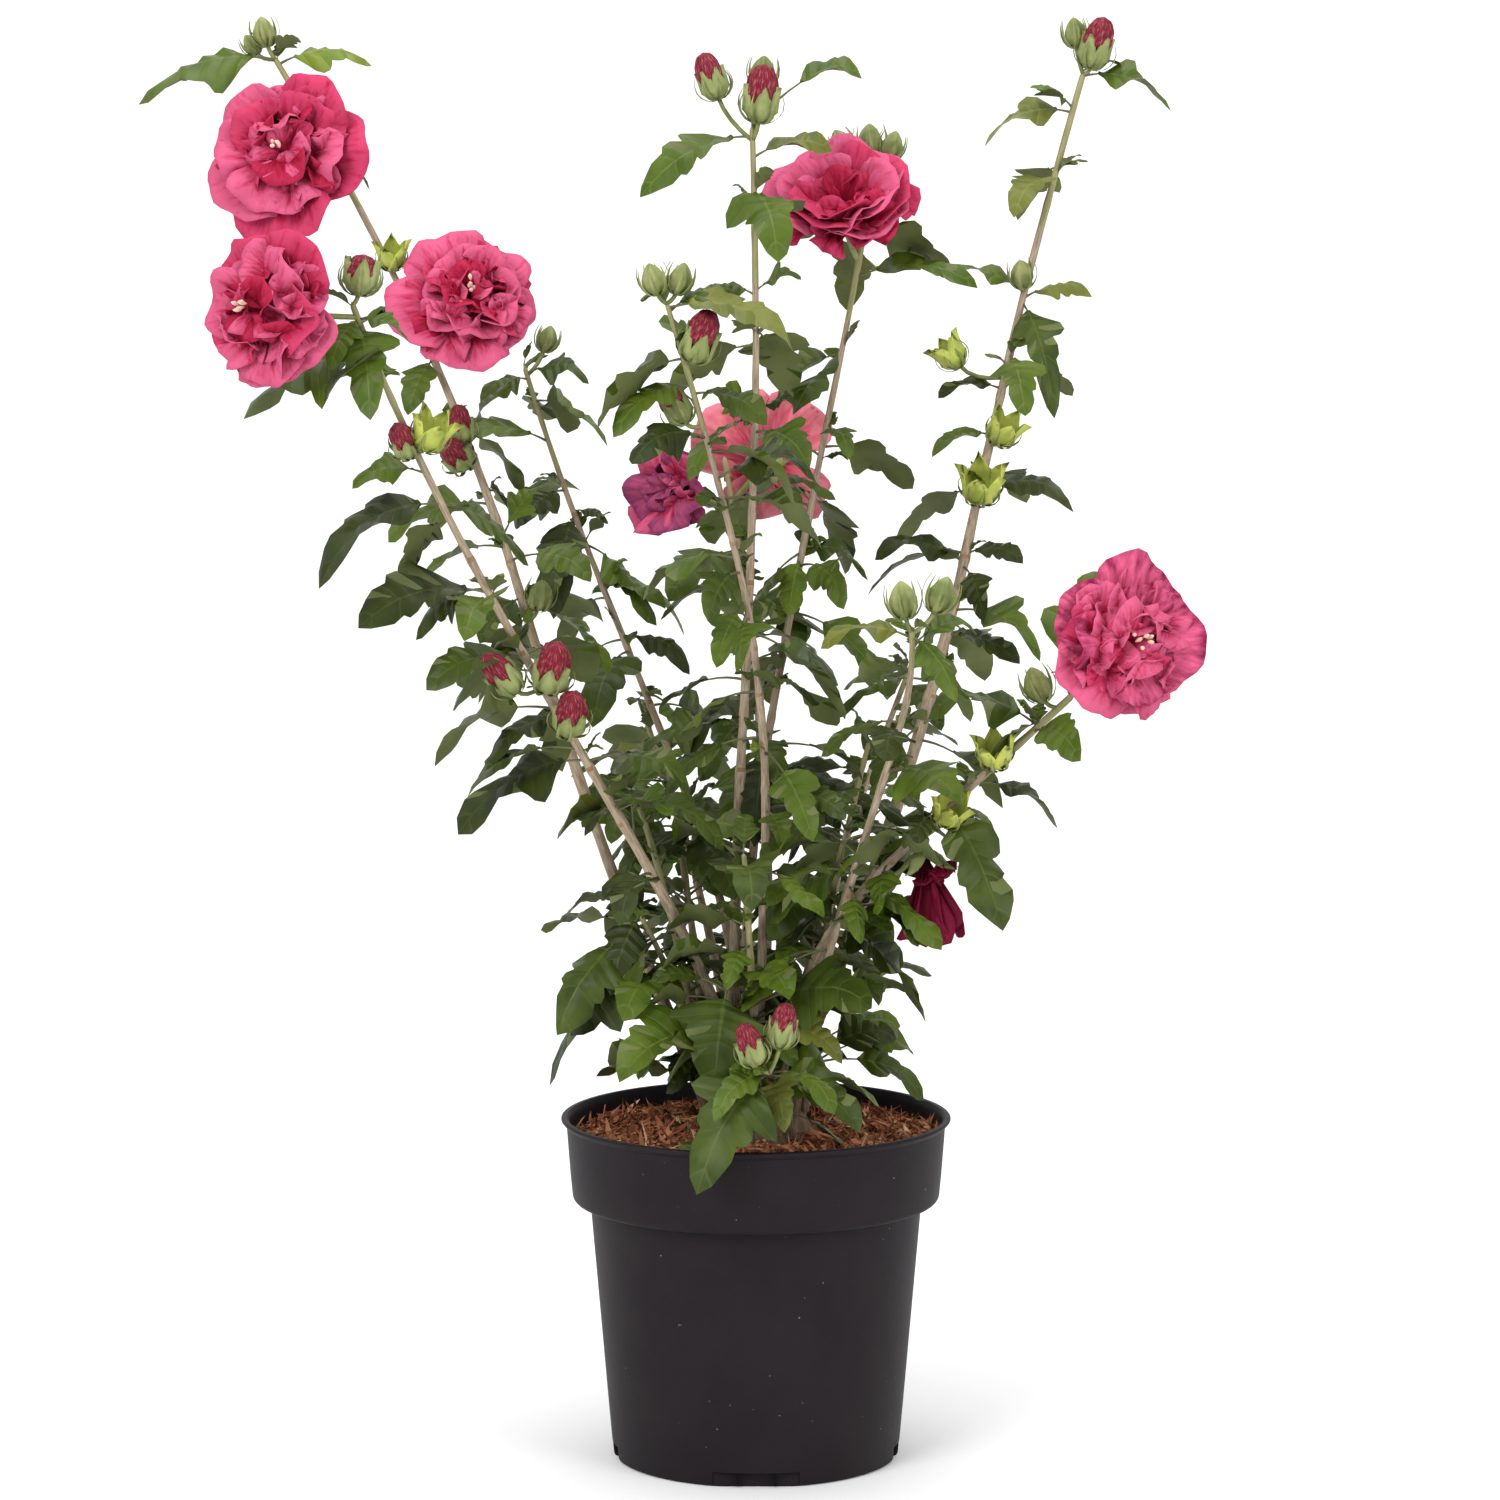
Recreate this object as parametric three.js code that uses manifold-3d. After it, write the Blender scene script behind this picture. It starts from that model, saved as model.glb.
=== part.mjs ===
// A hibiscus shrub in its nursery pot. Millimetres, +Z up, origin at the centre of the pot's flat underside.
//
// Many slim canes rise from one low stool in the growing medium. Every cane is one curve: its lower stretch
// is a bare tapering limb, and from there to the tip it is the stem of a mass, which carries leaves, buds and
// blooms. Short shoots grow straight from the stool and fill the foot of the shrub. Leaves stand on the stems
// by one seeded rule, apart from the ones that reach furthest, which are given with their stem.
import * as THREE from 'three';
import Module from 'manifold-3d';

const wasm = await Module();
wasm.setup();

// ---- driving dimensions ----
const GAP = 0.3;
const FUSE_TOLERANCE = 0.05;

const POT = {
  height: 168, lipRadius: 95, lipHeight: 3, collarTop: 92.7, collarFoot: 89.6, collarFootHeight: 127,
  collarRound: 3, bodyTop: 81, bodyFoot: 70, wall: 1.6, sides: 32,
};
const CHANNEL = { count: 4, width: 18, height: 7.5, inner: 24, notchWidth: 42, notchDepth: 4 };

// top: height of the level middle; swell: how rough the rest is; inset: clear of the flats of the pot's wall
const SOIL = { top: 158, swell: 3.2, level: 40, inset: 0.7, sides: 18 };

// radius and height above the soil, from the flared foot to the flat top that the canes stand on
const STOOL = { profile: [[36, 0], [31, 4], [28.5, 10], [27, 17]], sides: 18, sunk: 5 };

const LIMB_SIDES = 6;
const STEM_SIDES = 5;
const TWIG_SIDES = 3;
const BUD_SIDES = 4;
const STEM_STEP = 42;

const LEAF = {
  widthShare: 0.29, shoulderShare: 0.2, widest: 0.42, shoulder: 0.7,
  thickness: 1.1, petiole: 0.8, rise: 0.24, freeFrom: 0.24, longStalk: 6, leadRoll: 0.6,
};
// whorls from the seat out to the rim and in to the middle: share of the radius, height, petals, ruffle
const BLOOM = {
  sides: 15, ruffles: 6, stalk: 1.3, crown: 0.44,
  whorls: [[0.14, -0.1, 0, 0], [0.7, 0.1, 0.1, 0.03], [1.06, 0.42, 0.3, 0.07], [0.86, 0.66, 0.25, -0.06],
    [0.45, 0.8, 0.1, 0.05]],
};

// the rule: nodes go down from the tip, the first stretches long and each next one shorter
const RULE = {
  turn: 137.5, shrink: 0.64, firstGap: 0.55, leastGap: 30, leaves: 2, leafFan: 105, spread: 7,
  spurGrowth: 2.6, spurMost: 16, climb: -24, climbSpread: 44, rollSpread: 1.4,
};
const TRIES = 5;
const TRY_TURN = 11;

const COLOUR = {
  pot: 0x2b272a, soil: 0x6b3a26, stool: 0x6e5a49, bark: 0x9a8469, leaf: 0x33572c,
};

// ---- canes ----
// foot: where it stands on the stool; then two guides and the tip; thick: radius at foot and tip; bare: share
// of the curve that is the limb; gap: the longest bare stretch between nodes; leaf: usual leaf length;
// leaves: the ones that reach out clear of the rest, each as its distance below the tip and where its point
// lies from its root, then, where they aren't usual, the length of its stalk and how broad it is
const CANES = [
  { name: 'far_left', foot: [-22, 0], guides: [[-132, 33, 410], [-98, 77, 446]], tip: [-240, 110, 682],
    thick: [3.1, 1.4], bare: 0.36, gap: 95, leaf: 42, start: 20,
    leaves: [[3, -68, -8, -16], [5, 46, 8, 4], [62, -48, 24, -42], [150, -24, -8, 6], [172, -12, -14, -24],
      [214, 24, -12, 28], [268, 20, 6, 26], [300, -20, -16, -18]] },
  { name: 'left', foot: [-9, -12], guides: [[-8, -34, 262], [-122, -72, 388]], tip: [-186, -100, 567],
    thick: [3.1, 1.4], bare: 0.34, gap: 70, leaf: 42, start: 250,
    leaves: [[28, -60, -4, -22], [12, 6, -26, -36], [9, 24, -12, -8], [10, -12, -18, -16], [88, -34, -8, -2],
      [104, -56, -18, -24], [152, -60, -16, -12], [188, -46, -12, -10], [222, -36, -10, -16],
      [246, -60, -10, -28]] },
  { name: 'mid_left', foot: [-15, 12], guides: [[13, 53, 261], [-65, 109, 356]], tip: [-118, 150, 527],
    thick: [2.6, 1.2], bare: 0.36, gap: 42, leaf: 42, start: 330,
    leaves: [[5, 32, -8, 2], [8, -24, -10, -6], [42, -52, -10, 4], [82, -10, -24, -40], [80, 18, -8, -4],
      [122, 32, -6, -8], [150, 34, -10, -10]] },
  { name: 'centre', foot: [-6, 3], guides: [[-21, 8, 266], [7, 15, 419]], tip: [-2, 20, 648],
    thick: [3.0, 1.4], bare: 0.36, gap: 66, leaf: 42, start: 290,
    leaves: [[6, -54, -12, -26], [1, 53, 6, 31, 20], [16, 38, 8, 6], [82, -28, -6, 4], [80, 22, -8, 8],
      [138, -26, -4, 12], [140, 20, -10, 10]] },
  { name: 'front_slim', foot: [0, -8], guides: [[6, -30, 361], [15, -58, 377]], tip: [-42, -80, 567],
    thick: [2.5, 1.2], bare: 0.36, gap: 46, leaf: 42, start: 80,
    leaves: [[4, 58, -10, -12], [6, 30, 10, 12], [42, -36, -14, -17], [46, 34, -8, -10], [88, 46, -16, 10]] },
  { name: 'mid_right', foot: [4, 6], guides: [[-24, 24, 258], [20, 56, 410]], tip: [59, 80, 626],
    thick: [2.7, 1.3], bare: 0.34, gap: 62, leaf: 42, start: 10,
    leaves: [[54, 60, -6, -2], [30, -34, 6, -2], [144, -38, -6, 10], [146, 14, -8, 4], [190, 32, -8, -8],
      [196, -6, -20, -24]] },
  { name: 'right', foot: [12, 0], guides: [[115, 36, 413], [93, 84, 433]], tip: [164, 120, 675],
    thick: [3.6, 1.5], bare: 0.34, gap: 98, leaf: 42, start: 140,
    leaves: [[3, 44, -8, -12], [22, -44, -8, -10], [20, -22, -16, 12], [116, -38, -6, 12], [119, 34, -8, 6],
      [121, 15, -26, -46], [166, -32, -10, -2], [168, 22, 6, 14], [190, -30, -14, -6], [218, 46, -12, -2],
      [252, 28, -12, 0], [256, -44, -10, 10], [294, 36, -10, -12]] },
  { name: 'low_right', foot: [9, -11], guides: [[23, -29, 272], [43, -52, 281]], tip: [150, -70, 383],
    thick: [3.2, 1.6], bare: 0.36, gap: 44, leaf: 42, start: 200,
    leaves: [[4, 18, 24, 60], [24, -52, -6, 16], [62, -36, -12, -4], [84, 26, -26, -52]] },
  { name: 'right_slim', foot: [18, -11], guides: [[35, -46, 289], [77, -94, 368]], tip: [71, -130, 418],
    thick: [2.4, 1.3], bare: 0.34, gap: 38, leaf: 42, start: 30,
    leaves: [[4, 20, -14, -24], [5, -42, -8, 2], [9, 30, 14, 10]] },
  { name: 'rear', foot: [0, 17], guides: [[14, 58, 280], [0, 106, 390]], tip: [-16, 126, 482],
    thick: [2.7, 1.3], bare: 0.34, gap: 44, leaf: 42, start: 60, leaves: [] },
  { name: 'rear_left', foot: [-11, 21], guides: [[-16, 62, 240], [-38, 114, 300]], tip: [-60, 150, 356],
    thick: [2.6, 1.2], bare: 0.36, gap: 36, leaf: 44, start: 100, leaves: [] },
  { name: 'rear_right', foot: [12, 14], guides: [[26, 62, 250], [56, 114, 320]], tip: [84, 150, 384],
    thick: [2.6, 1.2], bare: 0.36, gap: 36, leaf: 42, start: 190, leaves: [] },
];

// ---- shoots from the stool ----
// foot: compass on the stool's side and height above the soil; lift: the rise of the guide; then the tip
const SHOOTS = [
  { name: 'low_front', foot: [290, 8], lift: 32, tip: [6, -104, 208], gap: 70, leaf: 46, start: 265,
    leaves: [[24, 42, -12, -20, 6], [8, -34, -16, -46, 0, 1.2], [6, -26, -14, -14], [4, -18, -6, 4],
      [30, 34, -2, -8]] },
  { name: 'foot_front', foot: [255, 9], lift: 36, tip: [-14, -58, 240], gap: 70, leaf: 44, start: 120,
    leaves: [[1, -6, -18, -40, 0, 1.6], [20, 18, -24, 26, 0, 0.8], [20, 66, -30, 16, 20, 1.2],
      [24, 52, -14, -10, 26], [28, -54, -36, -12, 16], [14, -42, -8, -20, 22], [2, -36, -4, 8, 8]] },
  { name: 'low_left', foot: [218, 10], lift: 40, tip: [-56, -30, 272], gap: 60, leaf: 44, start: 150,
    leaves: [[1, -14, -14, -32, 0, 1.3], [6, -42, -18, -44, 16, 1.1], [12, -36, -8, -32, 8],
      [14, -50, 4, -62, 22], [8, -22, 12, 22]] },
  { name: 'low_rear', foot: [94, 8], lift: 34, tip: [-6, 96, 232], gap: 26, leaf: 44, start: 60, leaves: [] },
  { name: 'inner_left', foot: [198, 13], lift: 70, tip: [-60, -6, 330], gap: 26, leaf: 44, start: 210,
    leaves: [] },
  { name: 'inner_front', foot: [272, 13], lift: 60, tip: [-6, -78, 308], gap: 26, leaf: 44, start: 270,
    leaves: [] },
  { name: 'inner_right', foot: [350, 13], lift: 70, tip: [44, -18, 312], gap: 40, leaf: 44, start: 340,
    leaves: [[26, -32, -16, -24, 0, 1.2], [46, 34, -12, -24, 6, 1.1], [4, 22, -6, 20], [2, -18, -10, 24]] },
  { name: 'inner_rear_right', foot: [20, 13], lift: 70, tip: [56, 48, 346], gap: 26, leaf: 44, start: 60,
    leaves: [] },
  { name: 'inner_rear_left', foot: [158, 13], lift: 70, tip: [-44, 42, 336], gap: 26, leaf: 44, start: 120,
    leaves: [] },
];
const SHOOT = { footRadius: 24, thick: [2.2, 1.2], climb: 2 };

// ---- blooms, buds and open calyxes: stem, distance below its tip, where it sits from there, where it
// faces, and its size across ----
const BLOOMS = [
  { stem: 'far_left', down: 45, seat: [-10, -14, -13], face: [-0.25, -0.95, 0.2], across: 82 },
  { stem: 'left', down: 8, seat: [-34, -11, 2], face: [-0.55, -0.82, 0.1], across: 74 },
  { stem: 'far_left', down: 151, seat: [26, -16, 6], face: [0.15, -0.85, 0.5], across: 70 },
  { stem: 'mid_right', down: 46, seat: [-6, -8, 16], face: [-0.12, -0.72, 0.68], across: 78 },
  { stem: 'low_right', down: 2, seat: [19, -4, 24], face: [0.35, -0.92, 0.18], across: 80 },
  { stem: 'rear', down: 30, seat: [-25, -2, 12], face: [-0.9, -0.4, 0.15], across: 52 },
  { stem: 'rear', down: 24, seat: [16, 4, 18], face: [0.3, 0.9, 0.3], across: 66 },
  { stem: 'low_right', down: 108, seat: [14, 9, -11], face: [0.2, 0.1, -0.97], across: 40 },
];
const BUDS = [
  { stem: 'far_left', down: 2, set: [[-5, -2, 13, 12], [-12, 4, 7, 9]] },
  { stem: 'far_left', down: 122, set: [[1, -8, 7, 13]] },
  { stem: 'far_left', down: 222, set: [[-6, -13, -2, 15], [-4, -12, 12, 13]] },
  { stem: 'far_left', down: 312, set: [[6, -10, 13, 13]] },
  { stem: 'left', down: 2, set: [[4, 1, 14, 17]] },
  { stem: 'left', down: 75, set: [[8, -9, 8, 16], [-4, -11, 3, 13]] },
  { stem: 'left', down: 204, set: [[-17, -10, 5, 16], [5, -14, 8, 18]] },
  { stem: 'left', down: 226, set: [[3, -14, 5, 17]] },
  { stem: 'mid_left', down: 6, set: [[10, 4, 18, 11]] },
  { stem: 'centre', down: 8, set: [[-19, -2, 28, 15], [4, -6, 19, 18], [5, 9, 32, 13]] },
  { stem: 'front_slim', down: 2, set: [[-6, -4, 11, 12], [6, 2, 11, 12]] },
  { stem: 'front_slim', down: 30, set: [[7, -7, 9, 17]] },
  { stem: 'front_slim', down: 62, set: [[-12, 2, 8, 14]] },
  { stem: 'mid_right', down: 2, set: [[-16, 2, 14, 12], [-2, 4, 15, 14], [8, 2, 13, 12]] },
  { stem: 'right', down: 2, set: [[6, -2, 12, 17], [-4, 2, 20, 12]] },
  { stem: 'right', down: 114, set: [[-2, -6, 7, 12]] },
  { stem: 'right', down: 160, set: [[-27, -6, 12, 14]] },
  { stem: 'right', down: 192, set: [[6, -8, 5, 15]] },
  { stem: 'right', down: 222, set: [[1, -10, 6, 18]] },
  { stem: 'low_right', down: 11, set: [[-10, -4, 11, 14]] },
  { stem: 'low_right', down: 50, set: [[-2, -10, 6, 15]] },
  { stem: 'low_right', down: 88, set: [[4, -9, 3, 15]] },
  { stem: 'right_slim', down: 2, set: [[-4, -2, 15, 14], [13, 2, 17, 14]] },
  { stem: 'low_front', down: 2, set: [[-8, -6, 12, 17], [6, -2, 20, 17]] },
];

// ---- small helpers ----
const radians = THREE.MathUtils.degToRad;
const vector = ([x, y, z]) => new THREE.Vector3(x, y, z);
const UP = new THREE.Vector3(0, 0, 1);

// a unit direction from a compass angle (0 is +X, 90 is +Y) and a climb, in degrees
function pointing(compass, climb) {
  const [turn, lift] = [radians(compass), radians(climb)];
  return new THREE.Vector3(Math.cos(lift) * Math.cos(turn), Math.cos(lift) * Math.sin(turn), Math.sin(lift));
}

// a fixed number from 0 to 1 for any three whole numbers
function chance(a, b, c) {
  const wave = Math.sin(a * 12.9898 + b * 78.233 + c * 37.719) * 43758.5453;
  return wave - Math.floor(wave);
}

// two directions square to a heading: one level, one as far up as it can be
function crossAxes(heading) {
  const side = new THREE.Vector3().crossVectors(heading, UP);
  if (side.lengthSq() < 1e-6) side.set(1, 0, 0);
  side.normalize();
  return [side, new THREE.Vector3().crossVectors(side, heading).normalize()];
}

function ring(centre, heading, radius, sides) {
  const [side, top] = crossAxes(heading);
  return Array.from({ length: sides }, (_, i) => {
    const turn = (2 * Math.PI * i) / sides;
    return centre.clone()
      .addScaledVector(side, radius * Math.cos(turn))
      .addScaledVector(top, radius * Math.sin(turn));
  });
}

// a closed skin over a row of sections: each is a ring of points, and the last may be one point
function loft(sections) {
  const points = sections.flat();
  const faces = [];
  let start = 0;
  for (let s = 1; s < sections.length; s++) {
    const count = sections[s - 1].length;
    const next = start + count;
    for (let i = 0; i < count; i++) {
      const j = (i + 1) % count;
      if (sections[s].length === 1) {
        faces.push([start + i, start + j, next]);
      } else {
        faces.push([start + i, start + j, next + j], [start + i, next + j, next + i]);
      }
    }
    start = next;
  }
  const cap = (first, count, flip) => {
    for (let i = 1; i < count - 1; i++) {
      faces.push(flip ? [first, first + i + 1, first + i] : [first, first + i, first + i + 1]);
    }
  };
  cap(0, sections[0].length, true);
  cap(start, sections.at(-1).length, false);
  let volume = 0;
  for (const [a, b, c] of faces) {
    volume += points[a].dot(new THREE.Vector3().crossVectors(points[b], points[c]));
  }
  if (volume < 0) faces.forEach((face) => face.reverse());
  return solidFrom(points.flatMap((p) => [p.x, p.y, p.z]), faces.flat());
}

function solidFrom(positions, triangles) {
  return new wasm.Manifold(new wasm.Mesh({
    numProp: 3, vertProperties: new Float32Array(positions), triVerts: new Uint32Array(triangles),
  }));
}

// a solid of revolution about Z from [radius, height] pairs that start and end on the axis
function turned(profile, sides) {
  const sections = profile.filter(([radius]) => radius > 0).map(([radius, z]) => (
    Array.from({ length: sides }, (_, i) => {
      const turn = (2 * Math.PI * (i + 0.5)) / sides;
      return new THREE.Vector3(radius * Math.cos(turn), radius * Math.sin(turn), z);
    })));
  return loft(sections);
}

function box(from, to, turn = 0) {
  const geometry = new THREE.BoxGeometry(to[0] - from[0], to[1] - from[1], to[2] - from[2]);
  geometry.translate((to[0] + from[0]) / 2, (to[1] + from[1]) / 2, (to[2] + from[2]) / 2);
  geometry.rotateZ(radians(turn));
  const spot = geometry.attributes.position;
  const corners = new Map();
  const positions = [];
  const index = Array.from(geometry.index.array, (i) => {
    const key = [spot.getX(i), spot.getY(i), spot.getZ(i)].map((v) => v.toFixed(4)).join();
    if (!corners.has(key)) {
      corners.set(key, positions.length / 3);
      positions.push(spot.getX(i), spot.getY(i), spot.getZ(i));
    }
    return corners.get(key);
  });
  return solidFrom(positions, index);
}

// the one whole body: loose scraps and sealed hollows are left out
function mainBody(solid) {
  return solid.decompose().reduce((best, piece) => (piece.volume() > best.volume() ? piece : best));
}

// ---- pot and growing medium ----
// drain channels and their notches in the wall, open below
function channels() {
  const boxes = [];
  for (let i = 0; i < CHANNEL.count; i++) {
    const turn = (360 * i) / CHANNEL.count;
    const past = POT.bodyTop;
    boxes.push(
      box([CHANNEL.inner, -CHANNEL.width / 2, -1], [past, CHANNEL.width / 2, CHANNEL.height], turn),
      box([POT.bodyFoot - CHANNEL.notchDepth, -CHANNEL.notchWidth / 2, -1],
        [past, CHANNEL.notchWidth / 2, CHANNEL.height], turn),
    );
  }
  return wasm.Manifold.union(boxes);
}

function potSolid() {
  const { height, lipRadius, lipHeight, collarTop, collarFoot, collarFootHeight, collarRound } = POT;
  const outer = turned([
    [POT.bodyFoot, 0], [POT.bodyTop, collarFootHeight], [collarFoot - collarRound, collarFootHeight],
    [collarFoot, collarFootHeight + collarRound], [collarTop, height - lipHeight],
    [lipRadius, height - lipHeight + 0.6], [lipRadius, height],
  ], POT.sides);
  return outer.subtract(potHollow(0)).subtract(channels());
}

// the space above the pot's floor, up to a height, drawn in by the margin on every side
function potHollow(margin, top = POT.height + 1) {
  const inset = POT.wall + margin;
  const slope = (POT.bodyTop - POT.bodyFoot) / POT.collarFootHeight;
  const flare = (POT.collarTop - POT.collarFoot) / (POT.height - POT.collarFootHeight);
  const floor = CHANNEL.height + POT.wall + margin;
  const step = POT.collarFootHeight + inset;
  return turned([
    [POT.bodyFoot + slope * floor - inset, floor],
    [POT.bodyTop + slope * POT.wall - inset, step],
    [POT.collarFoot - inset, step + 1.5],
    [POT.collarFoot + flare * (top - POT.collarFootHeight) - inset, top],
  ], POT.sides);
}

// the medium fills the pot; its top is level under the stool and rough round it
function soilSolid() {
  const inset = POT.wall + GAP + SOIL.inset;
  const flare = (POT.collarTop - POT.collarFoot) / (POT.height - POT.collarFootHeight);
  const floor = CHANNEL.height + POT.wall + GAP;
  const slope = (POT.bodyTop - POT.bodyFoot) / POT.collarFootHeight;
  const step = POT.collarFootHeight + POT.wall + 2;
  const edge = POT.collarFoot + flare * (SOIL.top - POT.collarFootHeight) - inset;
  const level = (radius, z, swell, row) => Array.from({ length: SOIL.sides }, (_, i) => {
    const turn = (2 * Math.PI * (i + 0.5)) / SOIL.sides;
    const rise = swell * (chance(row, i, 7) - 0.4);
    return new THREE.Vector3(radius * Math.cos(turn), radius * Math.sin(turn), z + rise);
  });
  return loft([
    level(POT.bodyFoot + slope * floor - inset, floor, 0, 0),
    level(POT.bodyTop - inset, step, 0, 0),
    level(POT.collarFoot - inset, step + 2, 0, 0),
    level(edge, SOIL.top, SOIL.swell, 1),
    level((edge + SOIL.level) / 2, SOIL.top, SOIL.swell, 2),
    level(SOIL.level, SOIL.top, 0, 3),
  ]);
}

// ---- stool ----
function stoolSolid(grow = 0) {
  const profile = STOOL.profile.map(([radius, rise]) => [radius + grow, SOIL.top + GAP + rise]);
  profile[0][1] -= grow;
  profile.at(-1)[1] += grow;
  return turned(profile, STOOL.sides);
}

// ---- stems ----
function stemOf(plan, isShoot) {
  const tip = vector(plan.tip);
  let curve;
  if (isShoot) {
    const [compass, rise] = plan.foot;
    const foot = pointing(compass, 0).multiplyScalar(SHOOT.footRadius).setZ(SOIL.top + rise);
    const guide = foot.clone().lerp(tip, 0.45);
    guide.z += plan.lift * 0.5;
    curve = new THREE.QuadraticBezierCurve3(foot, guide, tip);
  } else {
    const footHeight = SOIL.top + GAP + STOOL.profile.at(-1)[1] - STOOL.sunk;
    const foot = vector([...plan.foot, footHeight]);
    curve = new THREE.CubicBezierCurve3(foot, vector(plan.guides[0]), vector(plan.guides[1]), tip);
  }
  const thick = isShoot ? SHOOT.thick : plan.thick;
  return {
    name: plan.name, plan, curve, length: curve.getLength(), thick,
    bare: isShoot ? 0 : plan.bare,
  };
}

const thickness = (stem, at) => stem.thick[0] + (stem.thick[1] - stem.thick[0]) * at;
// the share of the curve that lies a distance below the tip, measured along it
const place = (stem, down) => Math.max(stem.curve.getUtoTmapping(1 - down / stem.length), 0.02);

function tube(stem, from, to, sides) {
  const steps = Math.max(2, Math.round(((to - from) * stem.length) / STEM_STEP));
  const sections = [];
  for (let s = 0; s <= steps; s++) {
    const at = from + ((to - from) * s) / steps;
    sections.push(ring(stem.curve.getPoint(at), stem.curve.getTangent(at), thickness(stem, at), sides));
  }
  return loft(sections);
}

// ---- leaves, buds, blooms ----
// a thin blade along an arched midline, flat above with a keel below: stalk root, end of the stalk where
// it is long, two stations and a point. Its free part starts past the stalk.
function blade(root, reach, { stalk, roll, wide = 1, free = false }) {
  const length = reach.length();
  const guide = root.clone().addScaledVector(reach, 0.5).addScaledVector(UP, LEAF.rise * length);
  const midline = new THREE.QuadraticBezierCurve3(root, guide, root.clone().add(reach));
  const ofBlade = (share) => (stalk + share * (length - stalk)) / length;
  const station = (at, halfWidth, keel) => {
    const heading = midline.getTangent(at);
    const [side, top] = crossAxes(heading).map((axis) => axis.applyAxisAngle(heading, roll));
    const centre = midline.getPoint(at);
    return [[halfWidth, 0], [-halfWidth, 0], [0, -keel]]
      .map(([across, up]) => centre.clone().addScaledVector(side, across).addScaledVector(top, up));
  };
  const petiole = (at) => station(at, LEAF.petiole, LEAF.petiole);
  const start = free ? [petiole(ofBlade(LEAF.freeFrom))] : [petiole(0)];
  if (!free && stalk > LEAF.longStalk) start.push(petiole(ofBlade(0.08)));
  return loft([
    ...start,
    station(ofBlade(LEAF.widest), LEAF.widthShare * wide * (length - stalk), LEAF.thickness),
    station(ofBlade(LEAF.shoulder), LEAF.shoulderShare * wide * (length - stalk), LEAF.thickness),
    [midline.getPoint(1)],
  ]);
}

// a bud on its stalk: stalk root, neck, belly, shoulder and point
function budSolid(root, reach, across) {
  const heading = reach.clone().normalize();
  const out = Math.max(reach.length() - across * 0.6, 2);
  const up = (along) => root.clone().addScaledVector(heading, along);
  const at = (along, radius) => ring(up(along), heading, radius, BUD_SIDES);
  return loft([
    at(0, 1), at(out, 1.1), at(out + across * 0.35, across * 0.45), at(out + across, across * 0.38),
    [up(out + across * 1.45)],
  ]);
}

// a bloom: one ruffled bowl on a stalk, whose rim swells out in five petals, with a domed middle
function bloomSolid(root, seat, face, across) {
  const centre = root.clone().add(seat);
  const [side, top] = crossAxes(face);
  const whorl = ([share, depth, petals, ruffle]) => Array.from({ length: BLOOM.sides }, (_, i) => {
    const turn = (2 * Math.PI * i) / BLOOM.sides;
    const radius = (across / 2) * share * (1 + petals * (Math.abs(Math.cos(2.5 * turn)) - 0.6));
    const wave = ruffle * Math.cos(BLOOM.ruffles * turn);
    return centre.clone()
      .addScaledVector(side, radius * Math.cos(turn))
      .addScaledVector(top, radius * Math.sin(turn))
      .addScaledVector(face, (across / 2) * (depth + wave));
  });
  const crown = centre.clone().addScaledVector(face, across * BLOOM.crown);
  const bowl = loft([...BLOOM.whorls.map(whorl), [crown]]);
  const heading = seat.clone().normalize();
  const past = centre.clone().addScaledVector(heading, 2);
  const stalk = loft([
    ring(root, heading, BLOOM.stalk, TWIG_SIDES),
    ring(past, heading, BLOOM.stalk, TWIG_SIDES),
  ]);
  return bowl.add(stalk);
}

// ---- the rule: where a stem's leaves stand, node by node from the tip down ----
function leavesByRule(stem, seed) {
  const list = [];
  let { gap } = stem.plan;
  let down = gap * RULE.firstGap;
  const room = stem.length * (1 - stem.bare) - 6;
  for (let n = 0; down < room; n++) {
    const stalk = Math.min(n * RULE.spurGrowth, RULE.spurMost);
    for (let k = 0; k < RULE.leaves; k++) {
      const length = stem.plan.leaf * (0.78 + 0.42 * chance(seed + 90, n, k));
      list.push({
        at: place(stem, down + RULE.spread * (k - 0.5)),
        compass: stem.plan.start + n * RULE.turn + k * RULE.leafFan + 30 * (chance(seed, n, k) - 0.5),
        climb: (stem.bare ? RULE.climb : SHOOT.climb) + RULE.climbSpread * (chance(seed + 50, n, k) - 0.5),
        reach: length + stalk,
        stalk,
        roll: RULE.rollSpread * (chance(seed + 130, n, k) - 0.5),
      });
    }
    down += gap;
    gap = Math.max(gap * RULE.shrink, RULE.leastGap);
  }
  return list;
}

// ---- what stands where, so that pieces of two nodes never meet ----
const standing = [];

function boxesApart(a, b, margin) {
  return a.min.some((low, k) => low > b.max[k] + margin || a.max[k] < b.min[k] - margin);
}

function isClear(solid, owner) {
  const bounds = solid.boundingBox();
  return standing.every((other) => other.owner === owner || boxesApart(bounds, other.bounds, GAP * 2)
    || other.solid.minGap(solid, GAP * 2) > GAP);
}

function stand(solid, owner) {
  standing.push({ solid, owner, bounds: solid.boundingBox() });
  return solid;
}

// a leaf is turned a little, first one way and then the other, until it is clear of the other nodes
function standLeaf(owner, root, reach, options) {
  for (let t = 0; t < TRIES; t++) {
    const swing = Math.ceil(t / 2) * (t % 2 ? 1 : -1) * TRY_TURN;
    const turned = reach.clone().applyAxisAngle(UP, radians(swing));
    const leaf = blade(root, turned, options);
    if (isClear(leaf, owner) && isClear(blade(root, turned, { ...options, free: true }), null)) {
      return stand(leaf, owner);
    }
  }
  return null;
}

// ---- assembly ----
const plant = new THREE.Group();

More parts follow.
